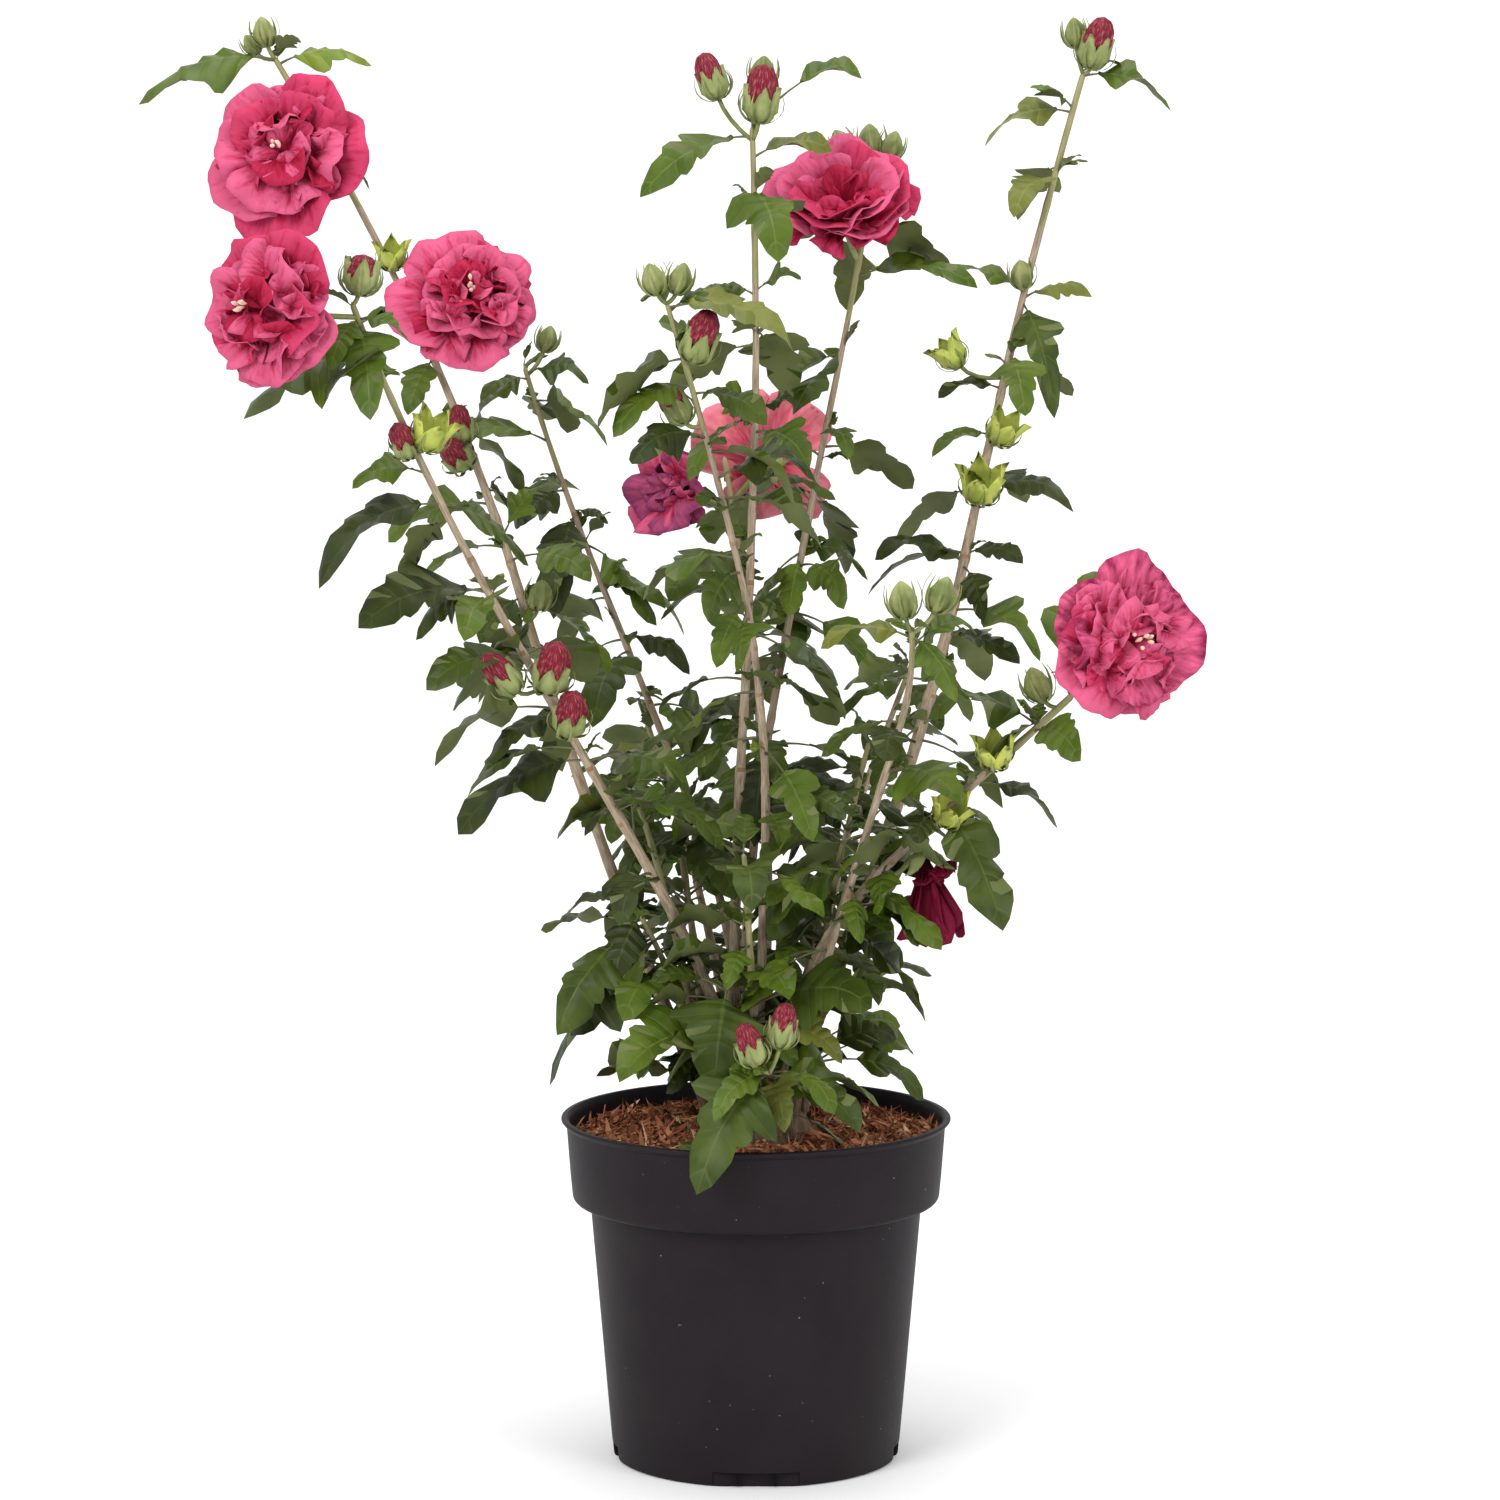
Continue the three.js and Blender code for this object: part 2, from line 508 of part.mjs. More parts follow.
function addNode(name, solid, colour, roughness) {
  const mesh = solid.getMesh();
  const geometry = new THREE.BufferGeometry();
  geometry.setAttribute('position', new THREE.BufferAttribute(new Float32Array(mesh.vertProperties), 3));
  geometry.setIndex(new THREE.BufferAttribute(new Uint32Array(mesh.triVerts), 1));
  const node = new THREE.Mesh(geometry, new THREE.MeshStandardMaterial({ color: colour, roughness }));
  node.name = name;
  plant.add(node);
}

const pot = stand(potSolid(), 'pot');
const soil = stand(soilSolid(), 'growing_medium');
const stool = stand(stoolSolid(), 'stool');
addNode('pot', pot, COLOUR.pot, 0.5);
addNode('growing_medium', soil, COLOUR.soil, 0.95);
addNode('stool', stool, COLOUR.stool, 0.85);

const stems = [...CANES.map((plan) => stemOf(plan, false)), ...SHOOTS.map((plan) => stemOf(plan, true))];
const stoolReach = stoolSolid(GAP);
const masses = new Map();

for (const stem of stems) {
  const isShoot = !stem.bare;
  const owner = `${isShoot ? 'shoot' : 'foliage'}_${stem.name}`;
  if (isShoot) {
    const twig = mainBody(tube(stem, 0, 1, STEM_SIDES).subtract(stoolReach));
    masses.set(stem, { owner, pieces: [stand(twig, owner)] });
    continue;
  }
  // how far along the curve a share of it is, just above the limb's end
  const tinyShare = 0.001;
  const limbEnd = stem.curve.getPoint(stem.bare);
  const speed = limbEnd.distanceTo(stem.curve.getPoint(stem.bare + tinyShare)) / tinyShare;
  const join = GAP / speed;
  const limb = mainBody(tube(stem, 0, stem.bare, LIMB_SIDES).subtract(stoolReach));
  addNode(`cane_${stem.name}`, stand(limb, `cane_${stem.name}`), COLOUR.bark, 0.8);
  masses.set(stem, { owner, pieces: [stand(tube(stem, stem.bare + join, 1, STEM_SIDES), owner)] });
}

const stemNamed = (name) => stems.find((stem) => stem.name === name);

function standAll(list, solidsOf) {
  for (const item of list) {
    const stem = stemNamed(item.stem);
    const mass = masses.get(stem);
    const root = stem.curve.getPoint(place(stem, item.down));
    for (const solid of solidsOf(item, root)) {
      if (isClear(solid, mass.owner)) mass.pieces.push(stand(solid, mass.owner));
    }
  }
}

standAll(BLOOMS, ({ seat, face, across }, root) => [
  bloomSolid(root, vector(seat), vector(face).normalize(), across),
]);
standAll(BUDS, ({ set }, root) => set.map(([x, y, z, across]) => budSolid(root, vector([x, y, z]), across)));

for (const stem of stems) {
  const mass = masses.get(stem);
  for (const [down, x, y, z, stalk = 0, wide = 1] of stem.plan.leaves) {
    const root = stem.curve.getPoint(place(stem, down));
    const form = { stalk, wide, roll: LEAF.leadRoll * Math.sign(x) };
    const leaf = standLeaf(mass.owner, root, vector([x, y, z]), form);
    if (leaf) mass.pieces.push(leaf);
  }
}

stems.forEach((stem, seed) => {
  const mass = masses.get(stem);
  for (const { at, compass, climb, reach, stalk, roll } of leavesByRule(stem, seed + 1)) {
    const direction = pointing(compass, climb).multiplyScalar(reach);
    const leaf = standLeaf(mass.owner, stem.curve.getPoint(at), direction, { stalk, roll });
    if (leaf) mass.pieces.push(leaf);
  }
});

for (const { owner, pieces } of masses.values()) {
  addNode(owner, mainBody(wasm.Manifold.union(pieces).simplify(FUSE_TOLERANCE)), COLOUR.leaf, 0.6);
}

export default plant;
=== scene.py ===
"""A hibiscus shrub in its nursery pot: the finished surfaces, grown on the same canes as the solids.

Lengths are millimetres, and become metres where a mesh is made. +Z is up, and -Y faces the viewer.
Every surface is a grid of points worked out as whole arrays. Canes, shoots and the leaf rule repeat
those of the solids; leaves then stand closer on the lower stems, on finer spurs within the same reach.
"""
import math

import bmesh
import bpy
import numpy as np
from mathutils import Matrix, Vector


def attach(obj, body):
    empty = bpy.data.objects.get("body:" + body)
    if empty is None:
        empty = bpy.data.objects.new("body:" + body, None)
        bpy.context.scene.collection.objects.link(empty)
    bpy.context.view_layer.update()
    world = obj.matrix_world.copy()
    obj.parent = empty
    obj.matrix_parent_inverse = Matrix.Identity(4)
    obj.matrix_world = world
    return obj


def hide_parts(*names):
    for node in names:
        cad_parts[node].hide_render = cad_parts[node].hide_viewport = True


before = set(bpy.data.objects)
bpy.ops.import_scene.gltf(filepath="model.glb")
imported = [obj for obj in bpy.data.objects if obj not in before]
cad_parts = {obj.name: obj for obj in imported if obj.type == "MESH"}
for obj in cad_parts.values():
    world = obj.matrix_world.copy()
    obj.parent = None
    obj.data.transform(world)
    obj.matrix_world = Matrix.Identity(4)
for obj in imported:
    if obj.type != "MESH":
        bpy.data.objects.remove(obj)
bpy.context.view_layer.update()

MM = 0.001
UP = np.array([0.0, 0.0, 1.0])

# ---------------- sizes shared with the solids
POT = dict(height=168, lip=95, lip_height=3, collar_top=92.7, collar_foot=89.6, collar_foot_height=127,
           collar_round=3, body_top=81, body_foot=70, wall=1.6)
COLLAR_FLARE = (POT["collar_top"] - POT["collar_foot"]) / (POT["height"] - POT["collar_foot_height"])
CHANNEL = dict(count=4, width=18, height=7.5, inner=24, notch_width=42, notch_depth=4)
SOIL_TOP = 158
SOIL_EDGE = POT["collar_foot"] + COLLAR_FLARE * (SOIL_TOP - POT["collar_foot_height"]) - POT["wall"] - 0.4
STOOL = [(36, 0), (31, 4), (28.5, 10), (27, 17)]
STOOL_SUNK = 5
GAP = 0.3
CANE_FOOT = SOIL_TOP + GAP + STOOL[-1][1] - STOOL_SUNK

# A cane has its foot on the stool, the two guides and the tip of its Bezier curve, its radii at foot and
# tip, the first gap between nodes, and the compass of its first leaf. Its leading leaves are placed one by
# one: the distance down from the tip, the reach in x, y and z, the length of the stalk, and the width.
CANE = dict(bare=0.36, climb=-24, leaf=42, young=0, leaves=())
CANES = [
    dict(name="far_left", foot=(-22, 0), guides=((-132, 33, 410), (-98, 77, 446)), tip=(-240, 110, 682),
         thick=(3.1, 1.4), gap=95, start=20,
         leaves=((3, -68, -8, -16), (5, 46, 8, 4), (62, -48, 24, -42), (150, -24, -8, 6),
                 (172, -12, -14, -24), (214, 24, -12, 28), (268, 20, 6, 26), (300, -20, -16, -18))),
    dict(name="left", foot=(-9, -12), guides=((-8, -34, 262), (-122, -72, 388)), tip=(-186, -100, 567),
         thick=(3.1, 1.4), bare=0.34, gap=70, start=250,
         leaves=((28, -60, -4, -22), (12, 6, -26, -36), (9, 24, -12, -8), (10, -12, -18, -16),
                 (88, -34, -8, -2), (104, -56, -18, -24), (152, -60, -16, -12), (188, -46, -12, -10),
                 (222, -36, -10, -16), (246, -60, -10, -28))),
    dict(name="mid_left", foot=(-15, 12), guides=((13, 53, 261), (-65, 109, 356)), tip=(-118, 150, 527),
         thick=(2.6, 1.2), gap=42, start=330,
         leaves=((5, 32, -8, 2), (8, -24, -10, -6), (42, -52, -10, 4), (82, -10, -24, -40),
                 (80, 18, -8, -4), (122, 32, -6, -8), (150, 34, -10, -10))),
    dict(name="centre", foot=(-6, 3), guides=((-21, 8, 266), (7, 15, 419)), tip=(-2, 20, 648),
         thick=(3.0, 1.4), gap=66, start=290,
         leaves=((6, -54, -12, -26), (1, 53, 6, 31, 20), (16, 38, 8, 6), (82, -28, -6, 4), (80, 22, -8, 8),
                 (138, -26, -4, 12), (140, 20, -10, 10))),
    dict(name="front_slim", foot=(0, -8), guides=((6, -30, 361), (15, -58, 377)), tip=(-42, -80, 567),
         thick=(2.5, 1.2), gap=46, start=80,
         leaves=((4, 58, -10, -12), (6, 30, 10, 12), (42, -36, -14, -17), (46, 34, -8, -10),
                 (88, 46, -16, 10))),
    dict(name="mid_right", foot=(4, 6), guides=((-24, 24, 258), (20, 56, 410)), tip=(59, 80, 626),
         thick=(2.7, 1.3), bare=0.34, gap=62, start=10,
         leaves=((54, 60, -6, -2), (30, -34, 6, -2), (144, -38, -6, 10), (146, 14, -8, 4),
                 (190, 32, -8, -8), (196, -6, -20, -24))),
    dict(name="right", foot=(12, 0), guides=((115, 36, 413), (93, 84, 433)), tip=(164, 120, 675),
         thick=(3.6, 1.5), bare=0.34, gap=98, start=140,
         leaves=((3, 44, -8, -12), (22, -44, -8, -10), (20, -22, -16, 12), (116, -38, -6, 12),
                 (119, 34, -8, 6), (121, 15, -26, -46, 0, 0.7), (166, -32, -10, -2), (168, 22, 6, 14),
                 (190, -30, -14, -6), (218, 46, -12, -2), (252, 28, -12, 0), (256, -44, -10, 10),
                 (294, 36, -10, -12))),
    dict(name="low_right", foot=(9, -11), guides=((23, -29, 272), (43, -52, 281)), tip=(150, -70, 383),
         thick=(3.2, 1.6), gap=44, start=200,
         leaves=((4, 18, 24, 60), (24, -52, -6, 16), (62, -36, -12, -4), (84, 26, -26, -52, 0, 0.85))),
    dict(name="right_slim", foot=(18, -11), guides=((35, -46, 289), (77, -94, 368)), tip=(71, -130, 418),
         thick=(2.4, 1.3), bare=0.34, gap=38, start=30,
         leaves=((4, 20, -14, -24), (5, -42, -8, 2), (9, 30, 14, 10))),
    dict(name="rear", foot=(0, 17), guides=((14, 58, 280), (0, 106, 390)), tip=(-16, 126, 482),
         thick=(2.7, 1.3), bare=0.34, gap=44, start=60),
    dict(name="rear_left", foot=(-11, 21), guides=((-16, 62, 240), (-38, 114, 300)), tip=(-60, 150, 356),
         thick=(2.6, 1.2), gap=36, leaf=44, start=100),
    dict(name="rear_right", foot=(12, 14), guides=((26, 62, 250), (56, 114, 320)), tip=(84, 150, 384),
         thick=(2.6, 1.2), gap=36, start=190),
]
# a shoot leaves the stool at a compass angle and a height over the medium, and its guide is lifted
SHOOT = dict(foot_radius=24, thick=(2.2, 1.2), bare=0, climb=2, gap=26, leaf=44, young=0, leaves=())
SHOOTS = [
    dict(name="low_front", foot=(290, 8), lift=32, tip=(6, -104, 208), gap=70, leaf=46, start=265, young=0.3,
         leaves=((24, 42, -12, -20, 6), (8, -34, -16, -46), (6, -26, -14, -14), (4, -18, -6, 4),
                 (30, 34, -2, -8))),
    dict(name="foot_front", foot=(255, 9), lift=36, tip=(-14, -58, 240), gap=70, start=120, young=0.3,
         leaves=((1, -6, -18, -40, 0, 1.6), (20, 18, -24, 26, 0, 0.8), (20, 66, -30, 16, 20, 1.2),
                 (24, 52, -14, -10, 26), (28, -54, -36, -12, 16), (14, -42, -8, -20, 22),
                 (2, -36, -4, 8, 8))),
    dict(name="low_left", foot=(218, 10), lift=40, tip=(-56, -30, 272), gap=60, start=150,
         leaves=((1, -14, -14, -32, 0, 1.3), (6, -42, -18, -44, 16, 1.1), (12, -36, -8, -32, 8),
                 (14, -50, 4, -62, 22), (8, -22, 12, 22))),
    dict(name="low_rear", foot=(94, 8), lift=34, tip=(-6, 96, 232), start=60),
    dict(name="inner_left", foot=(198, 13), lift=70, tip=(-60, -6, 330), start=210),
    dict(name="inner_front", foot=(272, 13), lift=60, tip=(-6, -78, 308), start=270),
    dict(name="inner_right", foot=(350, 13), lift=70, tip=(44, -18, 312), gap=40, start=340,
         leaves=((26, -32, -16, -24, 0, 1.2), (46, 34, -12, -24, 6, 1.1), (4, 22, -6, 20),
                 (2, -18, -10, 24))),
    dict(name="inner_rear_right", foot=(20, 13), lift=70, tip=(56, 48, 346), start=60),
    dict(name="inner_rear_left", foot=(158, 13), lift=70, tip=(-44, 42, 336), start=120),
]
RULE = dict(turn=137.5, shrink=0.64, first_gap=0.55, least_gap=30, leaves=2, leaf_fan=105, spread=7,
            spur_growth=2.6, spur_most=16, climb_spread=44, roll_spread=1.4)

BLOOMS = [
    dict(stem="far_left", down=45, seat=(-10, -14, -13), face=(-0.25, -0.95, 0.2), across=82, look="fresh"),
    dict(stem="left", down=8, seat=(-34, -11, 2), face=(-0.55, -0.82, 0.1), across=74, look="fresh"),
    dict(stem="far_left", down=151, seat=(26, -16, 6), face=(0.15, -0.85, 0.5), across=70, look="pink"),
    dict(stem="mid_right", down=46, seat=(-6, -8, 16), face=(-0.12, -0.62, 0.78), across=78, look="cup"),
    dict(stem="low_right", down=2, seat=(19, -4, 24), face=(0.35, -0.92, 0.18), across=80, look="aged"),
    dict(stem="rear", down=30, seat=(-25, -2, 12), face=(-0.7, -0.7, 0.15), across=52, look="fading"),
    dict(stem="rear", down=24, seat=(16, 4, 18), face=(0.3, 0.9, 0.3), across=66, look="backward"),
    dict(stem="low_right", down=108, seat=(7, 4, -6), face=(0.12, -0.1, -0.98), across=40, look="spent"),
]
# buds by the stem and the distance down from its tip; each has its middle from there, its width and its kind
BUDS = [
    ("far_left", 2, ((-5, -2, 13, 12, "green"), (-12, 4, 7, 9, "green"))),
    ("far_left", 122, ((1, -8, 7, 13, "open"),)),
    ("far_left", 222, ((-6, -13, -2, 15, "red"), (-4, -12, 12, 13, "red"))),
    ("far_left", 312, ((6, -10, 13, 13, "green"),)),
    ("left", 2, ((4, 1, 14, 17, "ball"),)),
    ("left", 75, ((8, -9, 8, 16, "open"), (-4, -11, 3, 13, "red"))),
    ("left", 204, ((-17, -10, 5, 16, "red"), (5, -14, 8, 18, "red"))),
    ("left", 226, ((3, -14, 5, 17, "red"),)),
    ("mid_left", 6, ((10, 4, 18, 11, "green"),)),
    ("centre", 8, ((-19, -2, 28, 15, "red"), (4, -6, 19, 18, "red"), (5, 9, 32, 13, "green"))),
    ("front_slim", 2, ((-6, -4, 11, 12, "green"), (6, 2, 11, 12, "green"))),
    ("front_slim", 30, ((7, -7, 9, 17, "red"),)),
    ("front_slim", 62, ((-12, 2, 8, 14, "red"),)),
    ("mid_right", 2, ((-16, 2, 14, 12, "green"), (-2, 4, 15, 14, "green"), (8, 2, 13, 12, "green"))),
    ("right", 2, ((6, -2, 12, 17, "red"), (-4, 2, 20, 12, "green"))),
    ("right", 114, ((-2, -6, 7, 12, "green"),)),
    ("right", 160, ((-27, -6, 12, 14, "open"),)),
    ("right", 192, ((6, -8, 5, 15, "open"),)),
    ("right", 222, ((1, -10, 6, 18, "open"),)),
    ("low_right", 11, ((-10, -4, 11, 14, "green"),)),
    ("low_right", 50, ((-2, -10, 6, 15, "open"),)),
    ("low_right", 88, ((4, -9, 3, 15, "open"),)),
    ("right_slim", 2, ((-4, -2, 15, 14, "green"), (13, 2, 17, 14, "green"))),
    ("low_front", 2, ((-8, -6, 12, 14, "red"), (6, -2, 20, 14, "red"))),
]

# ---------------- sizes of the finish
LEAF_RISE = 0.24
LEAF_THICKNESS = 0.4
# a leading leaf is turned to the front by this, less above the height
LEAD_ROLL = dict(low=0.6, high=0.33, above=290)
INFILL = dict(gap=18, shoot_gap=22, size=0.6, climb=-6, below=330, seed=500)
TUFT = dict(count=2, least=12, most=22, seed=700)
# a leaf's rows: the share of the midrib where each starts, then the edge point that it reaches, along and
# across the blade as shares of its length, on an oval leaf and on a three-lobed one
LEAF_ROWS = np.array([0, 0.02, 0.06, 0.12, 0.18, 0.25, 0.31, 0.37, 0.44, 0.51, 0.58, 0.66, 0.75, 0.87, 1])
OVAL_EDGE = np.array([(0, 0), (0.05, 0.045), (0.13, 0.115), (0.24, 0.20), (0.34, 0.26), (0.42, 0.275),
                      (0.445, 0.225), (0.50, 0.24), (0.57, 0.26), (0.635, 0.24), (0.665, 0.19), (0.77, 0.205),
                      (0.845, 0.175), (0.945, 0.105), (1, 0)])
LOBED_EDGE = np.array([(0, 0), (0.03, 0.06), (0.10, 0.17), (0.20, 0.31), (0.31, 0.40), (0.42, 0.41),
                       (0.465, 0.33), (0.46, 0.21), (0.55, 0.25), (0.63, 0.24), (0.665, 0.18), (0.77, 0.20),
                       (0.84, 0.17), (0.94, 0.10), (1, 0)])
LEAF_COLUMNS = np.array([-1.0, -0.5, 0.0, 0.5, 1.0])
# no leaf hangs this near to a bud in front of it, and this much of the upward direction turns a bud up
BUD_CLEARANCE = 15
BUD_LIFT = 0.75
# outlines of the parts of a bud: the share of its length, and the radius as a share of its half width
CLOSED_BUD = [(0, 0), (0.08, 0.55), (0.3, 0.84), (0.55, 0.82), (0.8, 0.54), (0.94, 0.24), (1, 0)]
PETAL_CONE = [(0, 0), (0.2, 0.62), (0.5, 0.84), (0.75, 0.74), (0.94, 0.46), (1, 0)]
CALYX_CUP = [(0, 0), (0.12, 0.6), (0.45, 0.9), (0.7, 0.72), (1, 0)]
SEED_CASE = [(0, 0), (0.15, 0.5), (0.6, 0.5), (1, 0)]
STAMEN = [(0, 0), (0.3, 0.8), (0.7, 1.1), (1, 0)]
SHEET = dict(petal=0.3, sepal=0.4, bract=0.35)
BRACT_HALF = 1.25
# radii of stalks, from their root to their end
LEAF_STALK = (0.8, 0.45)
BLOOM_STALK = (1.3, 1.8)
BUD_STALK = 1.1
BLOOM_CALYX = dict(radius=8, length=15, spread=0.75, behind=3)
BLOOM_SEED = 40
BUD_SEED_STEP = 7
# the bark is old and dark below this height, and young above these shares of a cane and of a shoot
OLD_BARK_TOP = 214
YOUNG_FROM = dict(cane=0.88, shoot=0.35)
BARK_RINGS = dict(apart=2.2, sides=18)
KNUCKLE = dict(height=0.08, reach=2.8, scar=1.2)
CHIPS = dict(count=6500, seed=5, shades=(0.34, 0.66, 0.9, 0.97))
# reliefs and patterns of the finishes; depths are metres
GRAIN = dict(detail=4, depth=0.001)
VEINS = dict(midrib=0.05, pairs=5.4, side=0.035, side_strength=0.5, swell=0.6, strength=0.6, depth=0.0018)
STREAKS = dict(scale=3.6, detail=4, shift=1.5, start=0.75, stop=0.85)
SPECKS = dict(scale=420, detail=1, low=0.785, high=0.83, colour=(0.15, 0.14, 0.15))


# ---------------- numbers and directions
def chance(a, b, c):
    """A fixed number from 0 to 1: the fraction of a large sine of three whole numbers."""
    wave = math.sin(a * 12.9898 + b * 78.233 + c * 37.719) * 43758.5453
    return wave - math.floor(wave)


def unit(vectors):
    """Vectors divided by their lengths."""
    return vectors / np.maximum(np.linalg.norm(vectors, axis=-1, keepdims=True), 1e-9)


def cross_axes(heading):
    """Two directions square to a heading: heading x up, which is level, and the one above it."""
    side = np.cross(heading, UP)
    flat = np.linalg.norm(side, axis=-1, keepdims=True) < 1e-3
    side = unit(np.where(flat, [1.0, 0.0, 0.0], side))
    return side, unit(np.cross(side, heading))


def rolled(side, top, angle):
    """The two cross axes turned about the heading by an angle."""
    c, s = np.cos(angle), np.sin(angle)
    return side * c - top * s, top * c + side * s


def spoke(heading, turn):
    """The direction square to a heading at an angle about it, and the one square to both."""
    side, top = cross_axes(heading)
    radial = side * math.cos(turn) + top * math.sin(turn)
    return radial, np.cross(heading, radial)


def pointing(compass, climb):
    """A unit direction from a compass angle and a climb, in degrees."""
    turn, lift = math.radians(compass), math.radians(climb)
    return np.array([math.cos(lift) * math.cos(turn), math.cos(lift) * math.sin(turn), math.sin(lift)])


def stacked(*parts):
    """Coordinates, each a grid or a row or column of one, put together as points."""
    return np.stack(np.broadcast_arrays(*parts), -1)


def laid_out(origin, *parts):
    """Points that lie from an origin by amounts along directions, which are given in pairs."""
    points = origin
    for direction, amount in parts:
        points = points + direction * amount[..., None]
    return points


def turned(radius, angle, height):
    """Points at a radius, an angle about Z and a height."""
    return stacked(radius * np.cos(angle), radius * np.sin(angle), height)


def bowed(t, start, guide, end):
    """The curve (1 - t)^2 x start + 2 t (1 - t) x guide + t^2 x end."""
    return (1 - t) ** 2 * start + 2 * t * (1 - t) * guide + t ** 2 * end


def column(start, end, count):
    """Evenly spaced shares down a grid's rows."""
    return np.linspace(start, end, count)[:, None]


def circle(count):
    """Evenly spaced angles along a grid's columns, the last one short of a full turn."""
    return np.linspace(0, 2 * np.pi, count, endpoint=False)[None, :]


# ---------------- stems
class Stem:
    """A cane or a shoot: a Bezier curve from the stool to its tip, with a radius that tapers evenly."""

    def __init__(self, plan, is_shoot):
        self.plan = {**(SHOOT if is_shoot else CANE), **plan}
        self.is_shoot, self.name, self.bare = is_shoot, plan["name"], self.plan["bare"]
        tip = np.array(plan["tip"], float)
        if is_shoot:
            compass, rise = plan["foot"]
            foot = pointing(compass, 0) * SHOOT["foot_radius"] + UP * (SOIL_TOP + rise)
            guide = foot + 0.45 * (tip - foot) + UP * plan["lift"] * 0.5
            self.knots = np.array([foot, guide, tip])
        else:
            self.knots = np.array([(*plan["foot"], CANE_FOOT), *plan["guides"], tip], float)
        self.shares = np.linspace(0, 1, 201)
        steps = np.linalg.norm(np.diff(self.at(self.shares), axis=0), axis=1)
        self.run = np.concatenate([[0], np.cumsum(steps)])
        self.length = self.run[-1]

    def at(self, t):
        """Points of the Bezier curve at the shares t."""
        t = np.asarray(t, float)[..., None]
        k = self.knots
        if len(k) == 3:
            return bowed(t, *k)
        return (1 - t) ** 3 * k[0] + 3 * t * (1 - t) ** 2 * k[1] + 3 * t ** 2 * (1 - t) * k[2] + t ** 3 * k[3]

    def heading(self, t):
        """Directions of the curve at the shares t, by a short step on either side."""
        return unit(self.at(t + 1e-4) - self.at(t - 1e-4))

    def radius(self, t):
        foot, tip = self.plan["thick"]
        return foot + (tip - foot) * t

    def place(self, down):
        """The share of the curve that lies a distance below the tip, measured along it."""
        return max(np.interp(self.length - down, self.run, self.shares), 0.02)


STEMS = [Stem(plan, False) for plan in CANES] + [Stem(plan, True) for plan in SHOOTS]
STEM_NAMED = {stem.name: stem for stem in STEMS}
MASSES = [f"{'shoot' if stem.is_shoot else 'foliage'}_{stem.name}" for stem in STEMS]


def on_stem(name, down):
    """The point a distance below a stem's tip."""
    stem = STEM_NAMED[name]
    return stem.at(stem.place(down))


# ---------------- meshes from grids
def grid_faces(rows, columns, round_about=False):
    """Quads between the rows and columns of a grid; round_about joins the last column to the first."""
    r = np.arange(rows - 1)[:, None]
    c = np.arange(columns if round_about else columns - 1)[None, :]
    right = (c + 1) % columns
    return stacked(r * columns + c, r * columns + right, (r + 1) * columns + right, (r + 1) * columns + c)


class Piece:
    """Grids of points gathered into one mesh, with the number of the finish that each face takes."""

    def __init__(self):
        self.points, self.quads, self.tones, self.uvs, self.count = [], [], [], [], 0

    def take(self, points, quads, tones, uv=None):
        self.points.append(points)
        self.quads.append(quads + self.count)
        self.tones.append(tones)
        self.uvs.append(np.zeros((len(points), 2)) if uv is None else uv.reshape(-1, 2))
        self.count += len(points)

    def grid(self, points, tone, uv=None):
        """A skin whose rows run round about."""
        quads = grid_faces(*points.shape[:2], round_about=True)
        tones = np.broadcast_to(tone, quads.shape[:2]).ravel()
        self.take(points.reshape(-1, 3), quads.reshape(-1, 4), tones, uv)

    def sheet(self, points, normal, thickness, tone, uv=None):
        """A thin closed sheet: the grid, the same grid pushed back along its normal, and a rim of quads."""
        rows, columns = points.shape[:2]
        n = rows * columns
        back = points - normal * thickness
        face = grid_faces(rows, columns).reshape(-1, 4)
        edge = np.concatenate([
            np.arange(columns - 1), columns * np.arange(1, rows) - 1,
            n - 1 - np.arange(columns - 1), n - columns - columns * np.arange(rows - 1)])
        edge_next = np.roll(edge, -1)
        rim = stacked(edge_next, edge, edge + n, edge_next + n)
        self.take(np.concatenate([points.reshape(-1, 3), back.reshape(-1, 3)]),
                  np.concatenate([face, face[:, ::-1] + n, rim]), np.full(2 * len(face) + len(rim), tone),
                  None if uv is None else np.tile(uv.reshape(-1, 2), (2, 1)))

    def make(self, name, finishes, nodes, slot, smooth=True):
        """The gathered grids as one Blender object at the origin, its poles merged shut."""
        mesh = bpy.data.meshes.new(name)
        points = np.concatenate(self.points) * MM
        quads = np.concatenate(self.quads)
        mesh.vertices.add(len(points))
        mesh.vertices.foreach_set("co", points.ravel())
        mesh.loops.add(quads.size)
        mesh.loops.foreach_set("vertex_index", quads.ravel())
        mesh.polygons.add(len(quads))
        mesh.polygons.foreach_set("loop_start", np.arange(0, quads.size, 4))
        mesh.polygons.foreach_set("material_index", np.concatenate(self.tones).astype(np.int32))
        mesh.polygons.foreach_set("use_smooth", np.full(len(quads), smooth))
        layer = mesh.uv_layers.new(name="along")
        layer.data.foreach_set("uv", np.concatenate(self.uvs)[quads.ravel()].ravel())
        mesh.update()
        work = bmesh.new()
        work.from_mesh(mesh)
        bmesh.ops.remove_doubles(work, verts=work.verts, dist=1e-7)
        work.to_mesh(mesh)
        work.free()
        mesh.validate()
        piece = bpy.data.objects.new(name, mesh)
        bpy.context.collection.objects.link(piece)
        for material in finishes:
            mesh.materials.append(material)
        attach(piece, "root")
        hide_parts(*nodes)
        return piece


